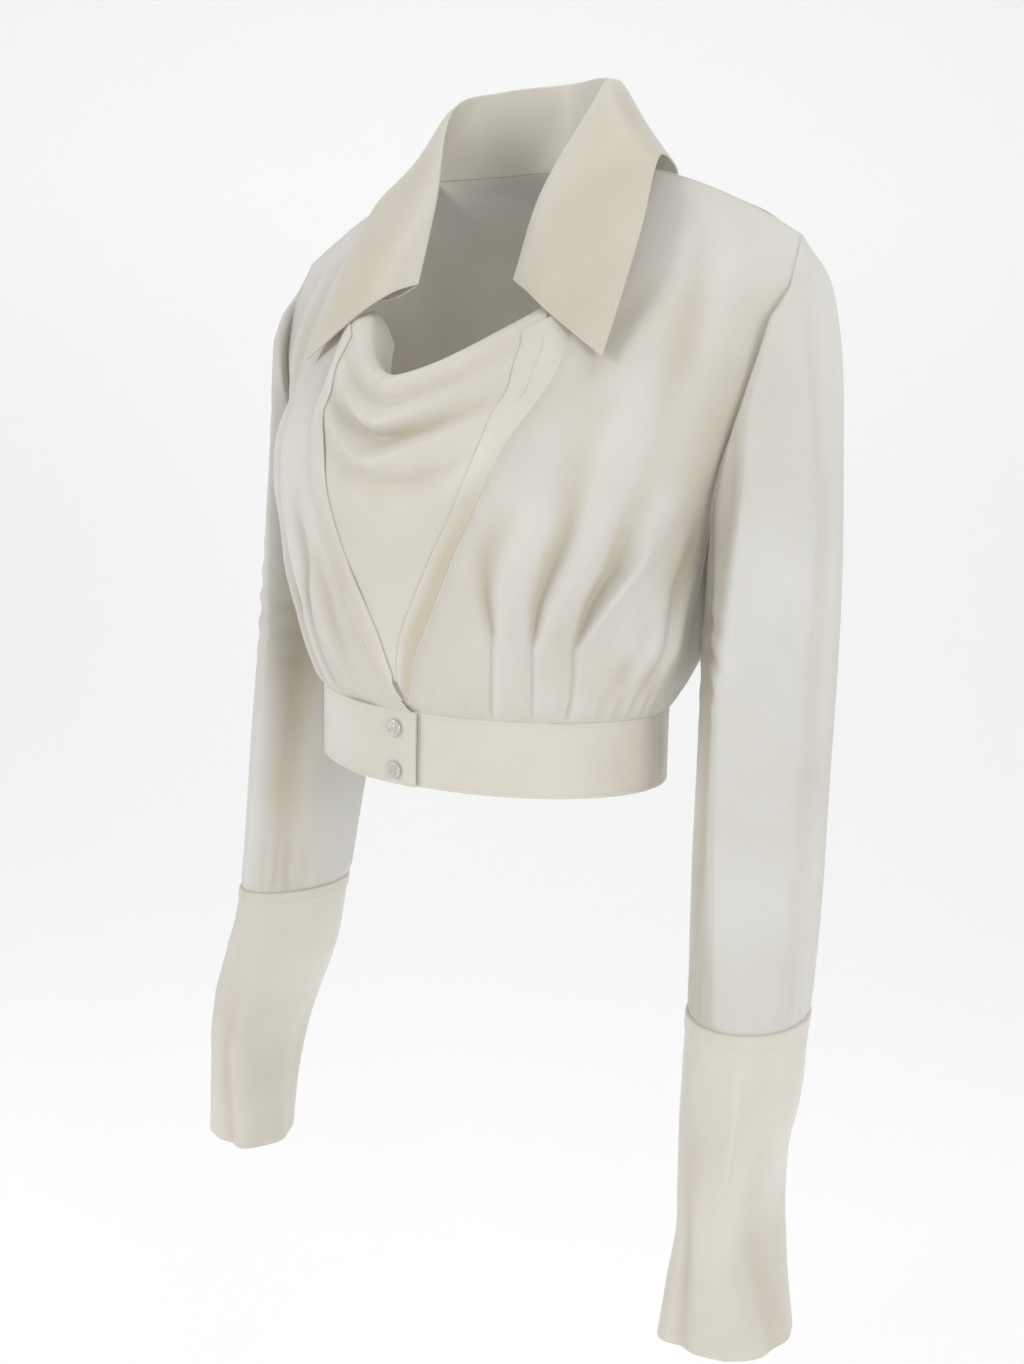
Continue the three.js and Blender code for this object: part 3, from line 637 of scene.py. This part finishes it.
def sleeveGrid(front, seed):
    head = armholeCurve(front)
    drop = (head[:, 2].max() - head[:, 2]) / np.ptp(head[:, 2])
    head[:, 0] += between(sleeveCut["startShoulder"], sleeveCut["startUnderarm"], drop)
    angle = np.arange(sleeveCut["columns"]) * math.tau / sleeveCut["columns"]
    sections = [head]
    for row in range(len(sleeveCut["outerX"])):
        outerX, innerX = sleeveCut["outerX"][row], sleeveCut["innerX"][row]
        outerZ, innerZ = sleeveCut["outerZ"][row], sleeveCut["innerZ"][row]
        x = (outerX + innerX) / 2 + (outerX - innerX) / 2 * np.cos(angle)
        y = sleeveCut["middleY"][row] - sleeveCut["halfDepth"][row] * np.sin(angle)
        z = (outerZ + innerZ) / 2 + (outerZ - innerZ) / 2 * np.cos(angle)
        sections.append(np.stack([x, y, z], axis=1))
    v = np.linspace(0, 1, sleeveCut["rows"])
    grid = relaxed(loft(sections, v), sleeveCut["relax"])
    z = grid[..., 2]
    u = np.broadcast_to(np.arange(sleeveCut["columns"]) / sleeveCut["columns"], z.shape)
    rows = np.broadcast_to(v[:, None], z.shape)
    soft = foldHeight(sleeveFolds, u, z, rowLengths(grid, True), closed=True)
    aroundX, aroundY = np.cos(u * math.tau), np.sin(u * math.tau)
    soft += sleeveCut["wave"] * ripple(aroundX * 50, aroundY * 50 + z * 0.3, seed, sleeveCut["waveReach"])
    # slight bunching at the elbow and fine gathers into the cuff
    elbow = np.exp(-(((z - elbowBunching["z"]) / elbowBunching["reach"]) ** 2)) * ease(aroundY, 0.1, 0.9)
    bunches = np.sin(z * math.tau / elbowBunching["step"] + 2.2 * aroundX)
    soft += elbowBunching["height"] * bunches * elbow
    puckers = np.sin(u * math.tau * sleeveCut["gathers"] + 2 * np.sin(u * math.tau * 3))
    soft += sleeveCut["gatherHeight"] * puckers * ease(rows, 0.86, 0.98)
    height = soft * ease(rows, 0, 0.09) * (1 - ease(rows, 0.975, 1))
    # painted shade: the side turned to the body is painted warmer and darker, and the fold valleys darker
    inner = ease(u, 0.2, 0.25) * (1 - ease(u, 0.42, 0.52)) * ease(rows, 0.05, 0.2)
    return raised(grid, height, closed=True), -height / 8 + sleeveCut["innerShade"] * inner


leftSleeveGrid, leftSleeveShade = sleeveGrid(leftFront, 5)
rightSleeveGrid, rightSleeveShade = sleeveGrid(rightFront, 12)
sleeveLeft = clothPiece("sleeveLeftTube", leftSleeveGrid, chiffon, ["sleeve_left"], closed=True,
                        shade=leftSleeveShade)
sleeveRight = clothPiece("sleeveRightTube", rightSleeveGrid, chiffon, ["sleeve_right"], closed=True,
                         mirror=True, shade=rightSleeveShade)
print("sleeves set in")


# cuffs

cuffCut = {
    "centreX": [211, 213, 217, 220, 222, 225],
    "centreY": [-12, -20, -32, -38, -43, -47],
    "z": [-527, -576, -623, -658, -695, -734],
    "halfX": [36, 35, 25, 20, 27, 38],
    "halfY": [50, 50, 52, 50, 44, 38],
    "skew": [0, 0, 2, 5, 8, 10],
    "tilt": [-2, -2, 0, 0, 0, 0],
    "topBand": 9, "bandProud": 0.7, "wave": 1.2, "waveReach": 55, "columns": 120, "rows": 84, "relax": 16,
}
cuffFolds = [
    {"z": [-740, -688, -648, -611, -574, -540], "at": [0.18, 0.167, 0.167, 0.158, 0.167, 0.175],
     "depth": [-1.5, -4, -6, -6, -4, -1], "width": [8, 9, 9, 9, 10, 10], "power": 1.5, "crest": 0.3},
    {"z": [-740, -690, -640, -570], "at": [0.04, 0.05, 0.06, 0.07], "depth": [4, 4, 2.6, 0],
     "width": [10, 11, 11, 12]},
    {"z": [-740, -690, -640, -570], "at": [0.31, 0.31, 0.3, 0.29], "depth": [4.5, 5, 4, 0],
     "width": [9, 10, 11, 12]},
    {"z": [-740, -680, -600], "at": [0.5, 0.51, 0.53], "depth": [-3.5, -3.5, 0], "width": [11, 12, 12],
     "crest": 0.4},
    {"z": [-740, -680, -600], "at": [0.7, 0.72, 0.74], "depth": [3.6, 3.6, 0], "width": [10, 11, 12]},
    {"z": [-740, -680, -600], "at": [0.86, 0.86, 0.86], "depth": [-3, -3, 0], "width": [11, 12, 12],
     "crest": 0.4},
]


def cuffGrid(seed):
    angle = np.arange(cuffCut["columns"]) * math.tau / cuffCut["columns"]
    sections = []
    for row in range(len(cuffCut["z"])):
        x = cuffCut["centreX"][row] + cuffCut["halfX"][row] * np.cos(angle)
        y = cuffCut["centreY"][row] + cuffCut["skew"][row] * np.cos(angle)
        y = y - cuffCut["halfY"][row] * np.sin(angle)
        z = cuffCut["z"][row] + cuffCut["tilt"][row] * np.cos(angle)
        sections.append(np.stack([x, y, z], axis=1))
    v = np.linspace(0.003, 1, cuffCut["rows"])
    grid = relaxed(loft(sections, v), cuffCut["relax"])
    z = grid[..., 2]
    u = np.broadcast_to(np.arange(cuffCut["columns"]) / cuffCut["columns"], z.shape)
    rows = np.broadcast_to(v[:, None], z.shape)
    height = foldHeight(cuffFolds, u, z, rowLengths(grid, True), closed=True)
    aroundX, aroundY = np.cos(u * math.tau) * 45, np.sin(u * math.tau) * 45
    height += cuffCut["wave"] * ripple(aroundX, aroundY + z * 0.5, seed, cuffCut["waveReach"])
    height *= ease(rows, 0.02, 0.2)
    # the turned band at the top stands a little proud of the cuff
    below = cuffCut["z"][0] - z
    height += cuffCut["bandProud"] * (1 - ease(below, cuffCut["topBand"] - 0.8, cuffCut["topBand"] + 0.8))
    # painted shade: the fold valleys are painted darker
    return raised(grid, height, closed=True), -height / 9


leftCuffGrid, leftCuffShade = cuffGrid(31)
rightCuffGrid, rightCuffShade = cuffGrid(44)
cuffLeft = clothPiece("cuffLeftTube", leftCuffGrid, satin, ["cuff_left"], closed=True, shade=leftCuffShade)
cuffRight = clothPiece("cuffRightTube", rightCuffGrid, satin, ["cuff_right"], closed=True, mirror=True,
                       shade=rightCuffShade)
print("cuffs set on")


# collar

collarCut = {
    "rows": [
        {"back": (0, 50, 54), "nape": (45, 33, 51), "side": (69, 1, 42),
         "chest": (64, -36, -18), "front": (63, -65, -73)},
        {"back": (0, 50, 80), "nape": (43, 30, 76), "side": (63, -2, 60),
         "chest": (47, -40, -6), "front": (41, -61, -63)},
        {"back": (0, 58, 80), "nape": (49, 37, 75), "side": (69, -2, 58),
         "chest": (56, -47, -8), "front": (53, -69, -67)},
        {"back": (0, 80, 52), "nape": (61, 54, 45), "side": (89, 1, 36),
         "chest": (92, -53, -28), "front": (86, -81, -87)},
        {"back": (0, 100, 12), "nape": (78, 70, 12), "side": (110, 0, 16),
         "chest": (130, -51, -40), "front": (127, -83, -113)},
    ],
    "rightPull": {"side": 4, "chest": 16, "front": 4},
    "endShare": 0.81, "aboveBack": 0.5, "aboveFront": 1.3, "inside": 0.8, "columns": 181, "steps": 76,
    "relax": 5, "wave": 1.6, "waveReach": 80, "swell": 1.2, "swellAt": 0.62, "edgeStitch": 3.2,
    "leafShade": 0.55,
}


def neckSeam(front):
    u = np.linspace(-1, 1, collarCut["columns"])
    reach, side = np.abs(u), np.sign(u)
    angle = np.minimum(reach, 0.5) * math.pi
    neckX, _, neckZ = shoulder["neck"]
    down = np.clip(2 * reach - 1, 0, 1)
    shares = np.linspace(0, 1, frontCut["rows"])
    edge = [np.interp(between(1, collarCut["endShare"], down), shares, front[:, 0, c]) for c in range(3)]
    inside = reach < 0.5
    x = np.where(inside, neckX * np.sin(angle), edge[0] - collarCut["inside"] * down)
    y = np.where(inside, backCut["neckY"] * np.cos(angle), edge[1])
    backZ = between(neckZ, backCut["neckZ"], np.cos(angle)) + collarCut["aboveBack"]
    z = np.where(inside, backZ, edge[2] + collarCut["aboveFront"])
    return np.stack([side * x, y, z], axis=1)


def collarSection(index):
    row = collarCut["rows"][index]
    pull = index / (len(collarCut["rows"]) - 1)
    left = [row[name] for name in ("back", "nape", "side", "chest", "front")]
    right = []
    for name in ("front", "chest", "side", "nape"):
        x, y, z = row[name]
        right.append((pull * collarCut["rightPull"].get(name, 0) - x, y, z))
    return throughPoints(right + left, np.linspace(0, 1, collarCut["columns"]))


def collarGrid():
    sections = [neckSeam(leftFront)] + [collarSection(i) for i in range(len(collarCut["rows"]))]
    v = np.linspace(0, 1, collarCut["steps"])
    grid = relaxed(loft(sections, v), collarCut["relax"])
    u = np.broadcast_to(np.linspace(-1, 1, collarCut["columns"]), grid.shape[:2])
    rows = np.broadcast_to(v[:, None], u.shape)
    leaf = ease(rows, 0.5, 0.75)
    height = collarCut["wave"] * ripple(u * 260, rows * 90, 17, collarCut["waveReach"])
    height += collarCut["swell"] * np.exp(-(((np.abs(u) - collarCut["swellAt"]) / 0.12) ** 2))
    # painted shade: the leaf is painted darker than the same satin on the stand and elsewhere
    return raised(grid, leaf * height), collarCut["leafShade"] * leaf


collarSheet, collarShade = collarGrid()
collarPiece = clothPiece("collarSheet", collarSheet, satin, ["collar"], shade=collarShade)
print("collar folded")


# facing strips and cowl inset

facingCut = {
    "edgeShare": [0.04, 0.12, 0.21, 0.33, 0.44, 0.55, 0.66, 0.76, 0.8],
    "innerZ": [-332, -319, -290, -238, -203, -166, -130, -104, -98],
    "overlap": 0.86, "lift": 1.1, "sections": 49, "underEdge": 4, "sunk": 0.9, "columns": 18, "rows": 110,
    "roll": 0.8, "wave": 0.3, "waveReach": 40, "lapShift": [-4, 0.6, 2], "tone": 0.9, "rightShadeShare": 0.4,
}
cowlCut = {
    "endX": [2, 9, 41, 62, 75, 82, 86, 87, 86, 79, 73, 67, 61],
    "endY": [-124, -130, -133.5, -130.5, -121, -111, -102, -93, -85, -76, -70, -65, -62],
    "endZ": [-322, -296, -241, -204, -167, -144, -130, -112, -98, -84, -81, -88, -103],
    "middleY": [-124, -131, -137, -137, -137, -154, -137, -149, -136, -138, -128, -119, -116],
    "middleZ": [-323, -298, -245, -213, -192, -180, -165, -155, -142, -130, -126, -134, -158],
    "sharp": [2, 2, 2, 2, 1.6, 1.35, 1.4, 1.4, 1.45, 1.55, 1.65, 1.7, 1.7],
    "columns": 121, "rows": 200, "relax": 4, "wave": 0.7, "waveReach": 50, "crestRelax": 400,
}


def cowlGrid():
    u = np.linspace(-1, 1, cowlCut["columns"])
    sections = []
    for row in range(len(cowlCut["endX"])):
        hang = np.abs(u) ** cowlCut["sharp"][row]
        y = between(cowlCut["middleY"][row], cowlCut["endY"][row], hang)
        z = between(cowlCut["middleZ"][row], cowlCut["endZ"][row], hang)
        sections.append(np.stack([cowlCut["endX"][row] * u, y, z], axis=1))
    grid = relaxed(loft(sections, np.linspace(0, 1, cowlCut["rows"])), cowlCut["relax"])
    x, z = grid[..., 0], grid[..., 2]
    height = cowlCut["wave"] * ripple(x, z, 27, cowlCut["waveReach"]) * ease(1 - np.abs(u), 0, 0.2)
    # the valleys lie behind a straight line between the crests; painted shade darkens them by how far behind
    front = relaxed(grid, cowlCut["crestRelax"])[..., 1]
    return raised(grid, height), (grid[..., 1] - front) / 8


def facingGrid(front, rightSide):
    # from a line on the inset to just under the front's rolled edge
    column = round((cowlCut["columns"] - 1) * (1 + facingCut["overlap"]) / 2)
    rising = int(np.argmax(cowlSheet[:, column, 2])) + 1
    onCowl = (cowlSheet + facingCut["lift"] * outward(cowlSheet))[:rising, column]
    shares = np.linspace(0, 1, frontCut["rows"])
    across = np.linspace(0, 1, facingCut["columns"])
    inward = front[:, 0] + facingCut["underEdge"] * (front[:, 1] - front[:, 0]) / np.linalg.norm(
        front[:, 1] - front[:, 0], axis=1, keepdims=True)
    under = inward - facingCut["sunk"] * outward(front)[:, 0]
    sections = []
    levels = np.maximum.accumulate(onCowl[:, 2])
    given = np.arange(len(facingCut["edgeShare"]))
    for step in np.linspace(0, given[-1], facingCut["sections"]):
        share = np.interp(step, given, facingCut["edgeShare"])
        level = np.interp(step, given, facingCut["innerZ"])
        edge = np.array([np.interp(share, shares, under[:, c]) for c in range(3)])
        inner = np.array([np.interp(level, levels, onCowl[:, c]) for c in range(3)])
        if rightSide and step < 1:
            inner = between(edge + facingCut["lapShift"], inner, step)
        sections.append(inner + (edge - inner) * across[:, None])
    grid = loft(sections, np.linspace(0, 1, facingCut["rows"]))
    height = facingCut["roll"] * np.sin(across * math.pi) * np.ones((facingCut["rows"], 1))
    along = np.arange(facingCut["rows"])[:, None] * 2.6
    height = height + facingCut["wave"] * ripple(along, across * 20, 9, facingCut["waveReach"])
    # painted shade: the strip is painted darker towards its lower part and towards the front's edge
    low = 1 - ease(grid[..., 2], -250, -170)
    return raised(grid, height), facingCut["tone"] * low * ease(across, 0.05, 0.5)


cowlSheet, cowlShade = cowlGrid()
cowlPiece = clothPiece("cowlInset", cowlSheet, satin, ["cowl_inset"], shade=cowlShade)
leftStrip, leftStripShade = facingGrid(leftFront, False)
rightStrip, rightStripShade = facingGrid(rightFront, True)
facingLeft = clothPiece("facingLeftStrip", leftStrip, satin, ["facing_left"], shade=leftStripShade)
# the right strip gets a smaller share of the painted shade
facingRight = clothPiece("facingRightStrip", rightStrip, satin, ["facing_right"], mirror=True,
                         shade=rightStripShade * facingCut["rightShadeShare"])
print("cowl draped")


# waistband

bandCut = {
    "halfWidth": 134, "halfDepth": 98, "centreY": -23, "top": -342.4, "height": 49.2, "sideTurn": 90,
    "overlap": 17, "overlapLift": 3, "gap": 0.3, "columns": 120, "rows": 22, "wave": 0.7, "waveReach": 62,
    "gathers": 0.9, "gatherStep": 5,
}
overlapTurn = math.degrees(math.asin(bandCut["overlap"] / bandCut["halfWidth"]))


def bandGrid(fromTurn, toTurn, over=False, seed=2, gathered=False):
    turns = np.linspace(fromTurn + bandCut["gap"], toTurn - bandCut["gap"], bandCut["columns"])
    v = np.linspace(0, 1, bandCut["rows"])[:, None]
    lift = bandCut["overlapLift"] * ease(turns, -30, -12) if over else 0 * turns
    angle = np.radians(turns)
    x = (bandCut["halfWidth"] + lift) * np.sin(angle) + 0 * v
    y = bandCut["centreY"] - (bandCut["halfDepth"] + lift) * np.cos(angle) + 0 * v
    z = bandCut["top"] - bandCut["height"] * (1 - v) + 0 * x
    grid = np.stack([x, y, z], axis=2)
    arc = np.radians(turns) * 115
    height = bandCut["wave"] * ripple(arc + 0 * v, v * 40, seed, bandCut["waveReach"]) * np.sin(v * math.pi)
    if gathered:
        ends = np.exp(-(((np.abs(turns - 180) - bandCut["sideTurn"]) / 12) ** 2))
        puckers = np.sin(arc * math.tau / bandCut["gatherStep"])
        height = height + bandCut["gathers"] * ends * puckers * (1 - (2 * v - 1) ** 4)
    return raised(grid, height)


bandLeftGrid = bandGrid(-overlapTurn, bandCut["sideTurn"], seed=2)
bandRightGrid = bandGrid(-bandCut["sideTurn"], overlapTurn, over=True, seed=6)
bandBackGrid = bandGrid(bandCut["sideTurn"], 360 - bandCut["sideTurn"], seed=11, gathered=True)
bandLeft = clothPiece("waistbandLeftEnd", bandLeftGrid, bandSatin, ["waistband_left"])
bandRight = clothPiece("waistbandRightEnd", bandRightGrid, bandSatin, ["waistband_right"])
bandBack = clothPiece("waistbandBackEnd", bandBackGrid, bandSatin, ["waistband_back"])
print("waistband joined")


# buttons

buttonLook = {
    "diameter": 11.5, "drops": [11, 39.5], "sunk": 0.35, "sides": 48, "shade": (0.36, 0.34, 0.32),
    "light": (0.78, 0.75, 0.70), "cloudScale": 240, "roughness": 0.22, "metal": 0.15, "coat": 0.6,
}


def pearlMaterial():
    material, nodes, links, shader = newMaterial("pearlShell")
    place = nodes.new("ShaderNodeTexCoord")
    cloud = nodes.new("ShaderNodeTexNoise")
    cloud.inputs["Scale"].default_value = buttonLook["cloudScale"]
    cloud.inputs["Detail"].default_value = 4
    cloud.inputs["Distortion"].default_value = 1.2
    links.new(place.outputs["Object"], cloud.inputs["Vector"])
    tones = nodes.new("ShaderNodeValToRGB")
    tones.color_ramp.elements[0].color = (*buttonLook["shade"], 1)
    tones.color_ramp.elements[1].color = (*buttonLook["light"], 1)
    links.new(cloud.outputs["Fac"], tones.inputs["Fac"])
    links.new(tones.outputs["Color"], shader.inputs["Base Color"])
    bump = nodes.new("ShaderNodeBump")
    bump.inputs["Strength"].default_value = 0.12
    bump.inputs["Distance"].default_value = 0.0002
    links.new(cloud.outputs["Fac"], bump.inputs["Height"])
    links.new(bump.outputs["Normal"], shader.inputs["Normal"])
    shader.inputs["Roughness"].default_value = buttonLook["roughness"]
    shader.inputs["Metallic"].default_value = buttonLook["metal"]
    shader.inputs["Coat Weight"].default_value = buttonLook["coat"]
    shader.inputs["Coat Roughness"].default_value = 0.1
    return material


pearl = pearlMaterial()


def buttonPiece(name, drop, node):
    radius = buttonLook["diameter"] / 2
    profile = [
        (0, 0), (radius - 1.2, 0), (radius - 0.3, 0.35), (radius, 1.0), (radius - 0.1, 1.6),
        (radius - 0.7, 2.3), (radius - 1.5, 2.6), (radius - 2.3, 2.35), (radius - 2.7, 1.7),
        (radius - 3.2, 1.45), (1.5, 1.45), (1.1, 1.75), (0.6, 1.95), (0, 2.0),
    ]
    sides = buttonLook["sides"]
    verts, faces = [], []
    ring = {}
    for row, (r, h) in enumerate(profile):
        if r == 0:
            ring[row] = [len(verts)] * sides
            verts.append((0, -h, 0))
            continue
        ring[row] = list(range(len(verts), len(verts) + sides))
        for k in range(sides):
            turn = k * math.tau / sides
            verts.append((r * math.cos(turn), -h, r * math.sin(turn)))
    for row in range(len(profile) - 1):
        for k in range(sides):
            n = (k + 1) % sides
            corners = [ring[row][k], ring[row][n], ring[row + 1][n], ring[row + 1][k]]
            face = tuple(dict.fromkeys(corners))
            if len(face) > 2:
                faces.append(face)
    bandFace = bandCut["centreY"] - bandCut["halfDepth"] - bandCut["overlapLift"] - bandSatin["thickness"] / 2
    verts = np.array(verts, float) + [0, bandFace - buttonLook["sunk"], bandCut["top"] - drop]
    piece = addMesh(name, verts, faces, pearl)
    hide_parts(node)
    return piece


buttonPiece("upperButton", buttonLook["drops"][0], "button_upper")
buttonPiece("lowerButton", buttonLook["drops"][1], "button_lower")
print("buttons sewn on")


# seams and stitching

seamLook = {
    "radius": 0.75, "cuffRadius": 0.9, "cuffInset": 0.75, "bandRadius": 0.95, "sides": 6,
    "edgeTop": 0.8,
}
stitchLook = {
    "pitch": 2.9, "length": 2.1, "radius": 0.16, "bandInset": 2.5, "cuffRise": 1.2,
    "leafStart": 42,
}


def seamPiece(name, points, cloth, radius, loop=False):
    verts, faces = tubeAlong(points, radius, seamLook["sides"], loop)
    return addMesh(name, verts, faces, cloth["material"])


def mirroredPoints(points):
    return np.asarray(points) * [-1, 1, 1]


for sideName, front, turned in (("Left", leftFront, np.asarray), ("Right", rightFront, mirroredPoints)):
    armpit = round((frontCut["rows"] - 1) * frontCut["armpitRow"] / len(frontCut["edgeX"]))
    top = round((frontCut["rows"] - 1) * seamLook["edgeTop"])
    for seamName, line, cloth, loop in (
        ("armholeSeam", armholeCurve(front), chiffon, True),
        ("sideSeam", front[2:armpit, -1], chiffon, False),
        ("shoulderSeam", front[-1, 3:], chiffon, False),
        ("openingEdge", front[4:top, 0], satin, False),
    ):
        seamPiece(seamName + sideName, turned(line), cloth, seamLook["radius"], loop)
for sideName, grid, turned in (("Left", leftCuffGrid, np.asarray), ("Right", rightCuffGrid, mirroredPoints)):
    # fills the step from the sleeve to the cuff
    line = raised(grid, np.full(grid.shape[:2], -seamLook["cuffInset"]), closed=True)[0]
    seamPiece(f"cuffSeam{sideName}", turned(line), satin, seamLook["cuffRadius"], loop=True)
for bandName, grid in (("Left", bandLeftGrid), ("Right", bandRightGrid), ("Back", bandBackGrid)):
    seamPiece(f"bandEdge{bandName}", grid[-1], satin, seamLook["bandRadius"])


def rowInside(grid, inset, edge):
    # points of a grid a given distance in from its last row, or from a side column
    if edge == "top":
        lines = grid[::-1].transpose(1, 0, 2)
    elif edge == "bottom":
        lines = grid.transpose(1, 0, 2)
    elif edge == "first":
        lines = grid
    else:
        lines = grid[:, ::-1]
    found = []
    for line in lines:
        run = np.concatenate([[0], np.cumsum(np.linalg.norm(np.diff(line, axis=0), axis=1))])
        found.append([np.interp(inset, run, line[:, c]) for c in range(3)])
    return np.array(found)


def stitchRow(name, grid, edge, inset, thickness, outside=1, closed=False, mirror=False, trim=0):
    line = rowInside(grid, inset, edge)
    nextLine = rowInside(grid, inset + 1, edge)
    ahead = np.gradient(line, axis=0)
    lift = np.cross(ahead, nextLine - line)
    lift /= np.maximum(np.linalg.norm(lift, axis=1, keepdims=True), 1e-9)
    lift *= outside
    if trim:
        line, lift = line[trim:-trim], lift[trim:-trim]
    if closed:
        line, lift = np.concatenate([line, line[:1]]), np.concatenate([lift, lift[:1]])
    verts, faces = stitchesAlong(line + lift * thickness / 2, lift, stitchLook)
    if mirror:
        verts, faces = verts * [-1, 1, 1], [face[::-1] for face in faces]
    return addMesh(name, verts, faces, thread)


collarInset, satinThick = collarCut["edgeStitch"], satin["thickness"]
stitchRow("collarEdgeStitch", collarSheet, "top", collarInset, satinThick, -1, trim=3)
collarLeaf = collarSheet[stitchLook["leafStart"]:-3]
stitchRow("collarLeftStitch", collarLeaf, "last", collarInset, satinThick, 1)
stitchRow("collarRightStitch", collarLeaf, "first", collarInset, satinThick, -1)
cuffInset = cuffCut["topBand"] - stitchLook["cuffRise"]
stitchRow("cuffLeftStitch", leftCuffGrid, "bottom", cuffInset, satinThick, 1, closed=True)
stitchRow("cuffRightStitch", rightCuffGrid, "bottom", cuffInset, satinThick, 1, closed=True, mirror=True)
for bandName, grid in (("Left", bandLeftGrid), ("Right", bandRightGrid), ("Back", bandBackGrid)):
    for rowName, edge, outside in (("Top", "top", -1), ("Hem", "bottom", 1)):
        stitchRow(f"band{rowName}Stitch{bandName}", grid, edge, stitchLook["bandInset"],
                  bandSatin["thickness"], outside)
print("seams stitched")


# camera, floor and lights

cameraSpot = {
    "place": (0.652, -0.847, -0.151), "yaw": 37.58, "pitch": 9.96, "roll": 1.26,
    "lens": 39.59, "film": 36,
}


def addCamera():
    yaw, pitch, roll = (math.radians(cameraSpot[key]) for key in ("yaw", "pitch", "roll"))
    ahead = Vector((-math.sin(yaw) * math.cos(pitch), math.cos(yaw) * math.cos(pitch), -math.sin(pitch)))
    level = Vector((math.cos(yaw), math.sin(yaw), 0))
    upright = level.cross(ahead)
    right = level * math.cos(roll) + upright * math.sin(roll)
    up = upright * math.cos(roll) - level * math.sin(roll)
    camera = bpy.data.objects.new("photoCamera", bpy.data.cameras.new("photoCamera"))
    camera.data.lens = cameraSpot["lens"]
    camera.data.sensor_width = cameraSpot["film"]
    camera.matrix_world = Matrix((
        (right.x, up.x, -ahead.x, cameraSpot["place"][0]),
        (right.y, up.y, -ahead.y, cameraSpot["place"][1]),
        (right.z, up.z, -ahead.z, cameraSpot["place"][2]),
        (0, 0, 0, 1),
    ))
    bpy.context.scene.collection.objects.link(camera)
    bpy.context.scene.camera = camera


floorLook = {
    "low": -1.15, "near": -6.0, "reach": 3.2, "bend": 1.6, "rise": 5.0, "halfWidth": 7, "steps": 24,
    "paint": (0.92, 0.92, 0.92), "roughness": 0.9, "glow": 0.2,
}


def addFloor():
    # a floor that sweeps up into a backdrop, far behind
    low, reach, bend = (floorLook[key] for key in ("low", "reach", "bend"))
    profile = [(floorLook["near"], low), (reach - bend, low)]
    for k in range(1, floorLook["steps"] // 2 + 1):
        angle = k * math.pi / floorLook["steps"]
        profile.append((reach - bend + bend * math.sin(angle), low + bend * (1 - math.cos(angle))))
    profile.append((reach, floorLook["rise"]))
    turn = math.radians(cameraSpot["yaw"])
    verts, faces = [], []
    for ahead, height in profile:
        for aside in (-floorLook["halfWidth"], floorLook["halfWidth"]):
            x = aside * math.cos(turn) - ahead * math.sin(turn)
            y = aside * math.sin(turn) + ahead * math.cos(turn)
            verts.append((x, y, height))
    for k in range(len(profile) - 1):
        faces.append((2 * k, 2 * k + 1, 2 * k + 3, 2 * k + 2))
    mesh = bpy.data.meshes.new("paleFloor")
    mesh.from_pydata(verts, [], faces)
    mesh.polygons.foreach_set("use_smooth", [True] * len(faces))
    floor = bpy.data.objects.new("paleFloor", mesh)
    bpy.context.scene.collection.objects.link(floor)
    material, nodes, links, shader = newMaterial("palePaint")
    shader.inputs["Base Color"].default_value = (*floorLook["paint"], 1)
    shader.inputs["Roughness"].default_value = floorLook["roughness"]
    shader.inputs["Emission Color"].default_value = (1, 1, 1, 1)
    shader.inputs["Emission Strength"].default_value = floorLook["glow"]
    mesh.materials.append(material)


lamps = [
    {"name": "softKey", "place": (-1.4, -2.0, 0.9), "size": 1.1, "power": 25, "aim": (0.05, 0, -0.25)},
    {"name": "softFill", "place": (2.4, -1.1, 0.1), "size": 1.0, "power": 22, "aim": (0.2, 0, -0.4)},
    {"name": "softTop", "place": (0.9, 0.2, 1.9), "size": 1.4, "power": 13, "aim": (0, 0, -0.2)},
]
airLight = {"color": (0.95, 0.95, 0.96), "strength": 0.5}


def addLamps():
    for lamp in lamps:
        light = bpy.data.lights.new(lamp["name"], "AREA")
        light.size = lamp["size"]
        light.energy = lamp["power"]
        item = bpy.data.objects.new(lamp["name"], light)
        item.location = lamp["place"]
        beam = Vector(lamp["aim"]) - Vector(lamp["place"])
        item.rotation_euler = beam.to_track_quat("-Z", "Y").to_euler()
        bpy.context.scene.collection.objects.link(item)
    world = bpy.data.worlds.new("paleStudio")
    world.use_nodes = True
    background = world.node_tree.nodes["Background"]
    background.inputs["Color"].default_value = (*airLight["color"], 1)
    background.inputs["Strength"].default_value = airLight["strength"]
    bpy.context.scene.world = world
    bpy.context.scene.view_settings.view_transform = "Standard"


addCamera()
addFloor()
addLamps()
print("studio lit")
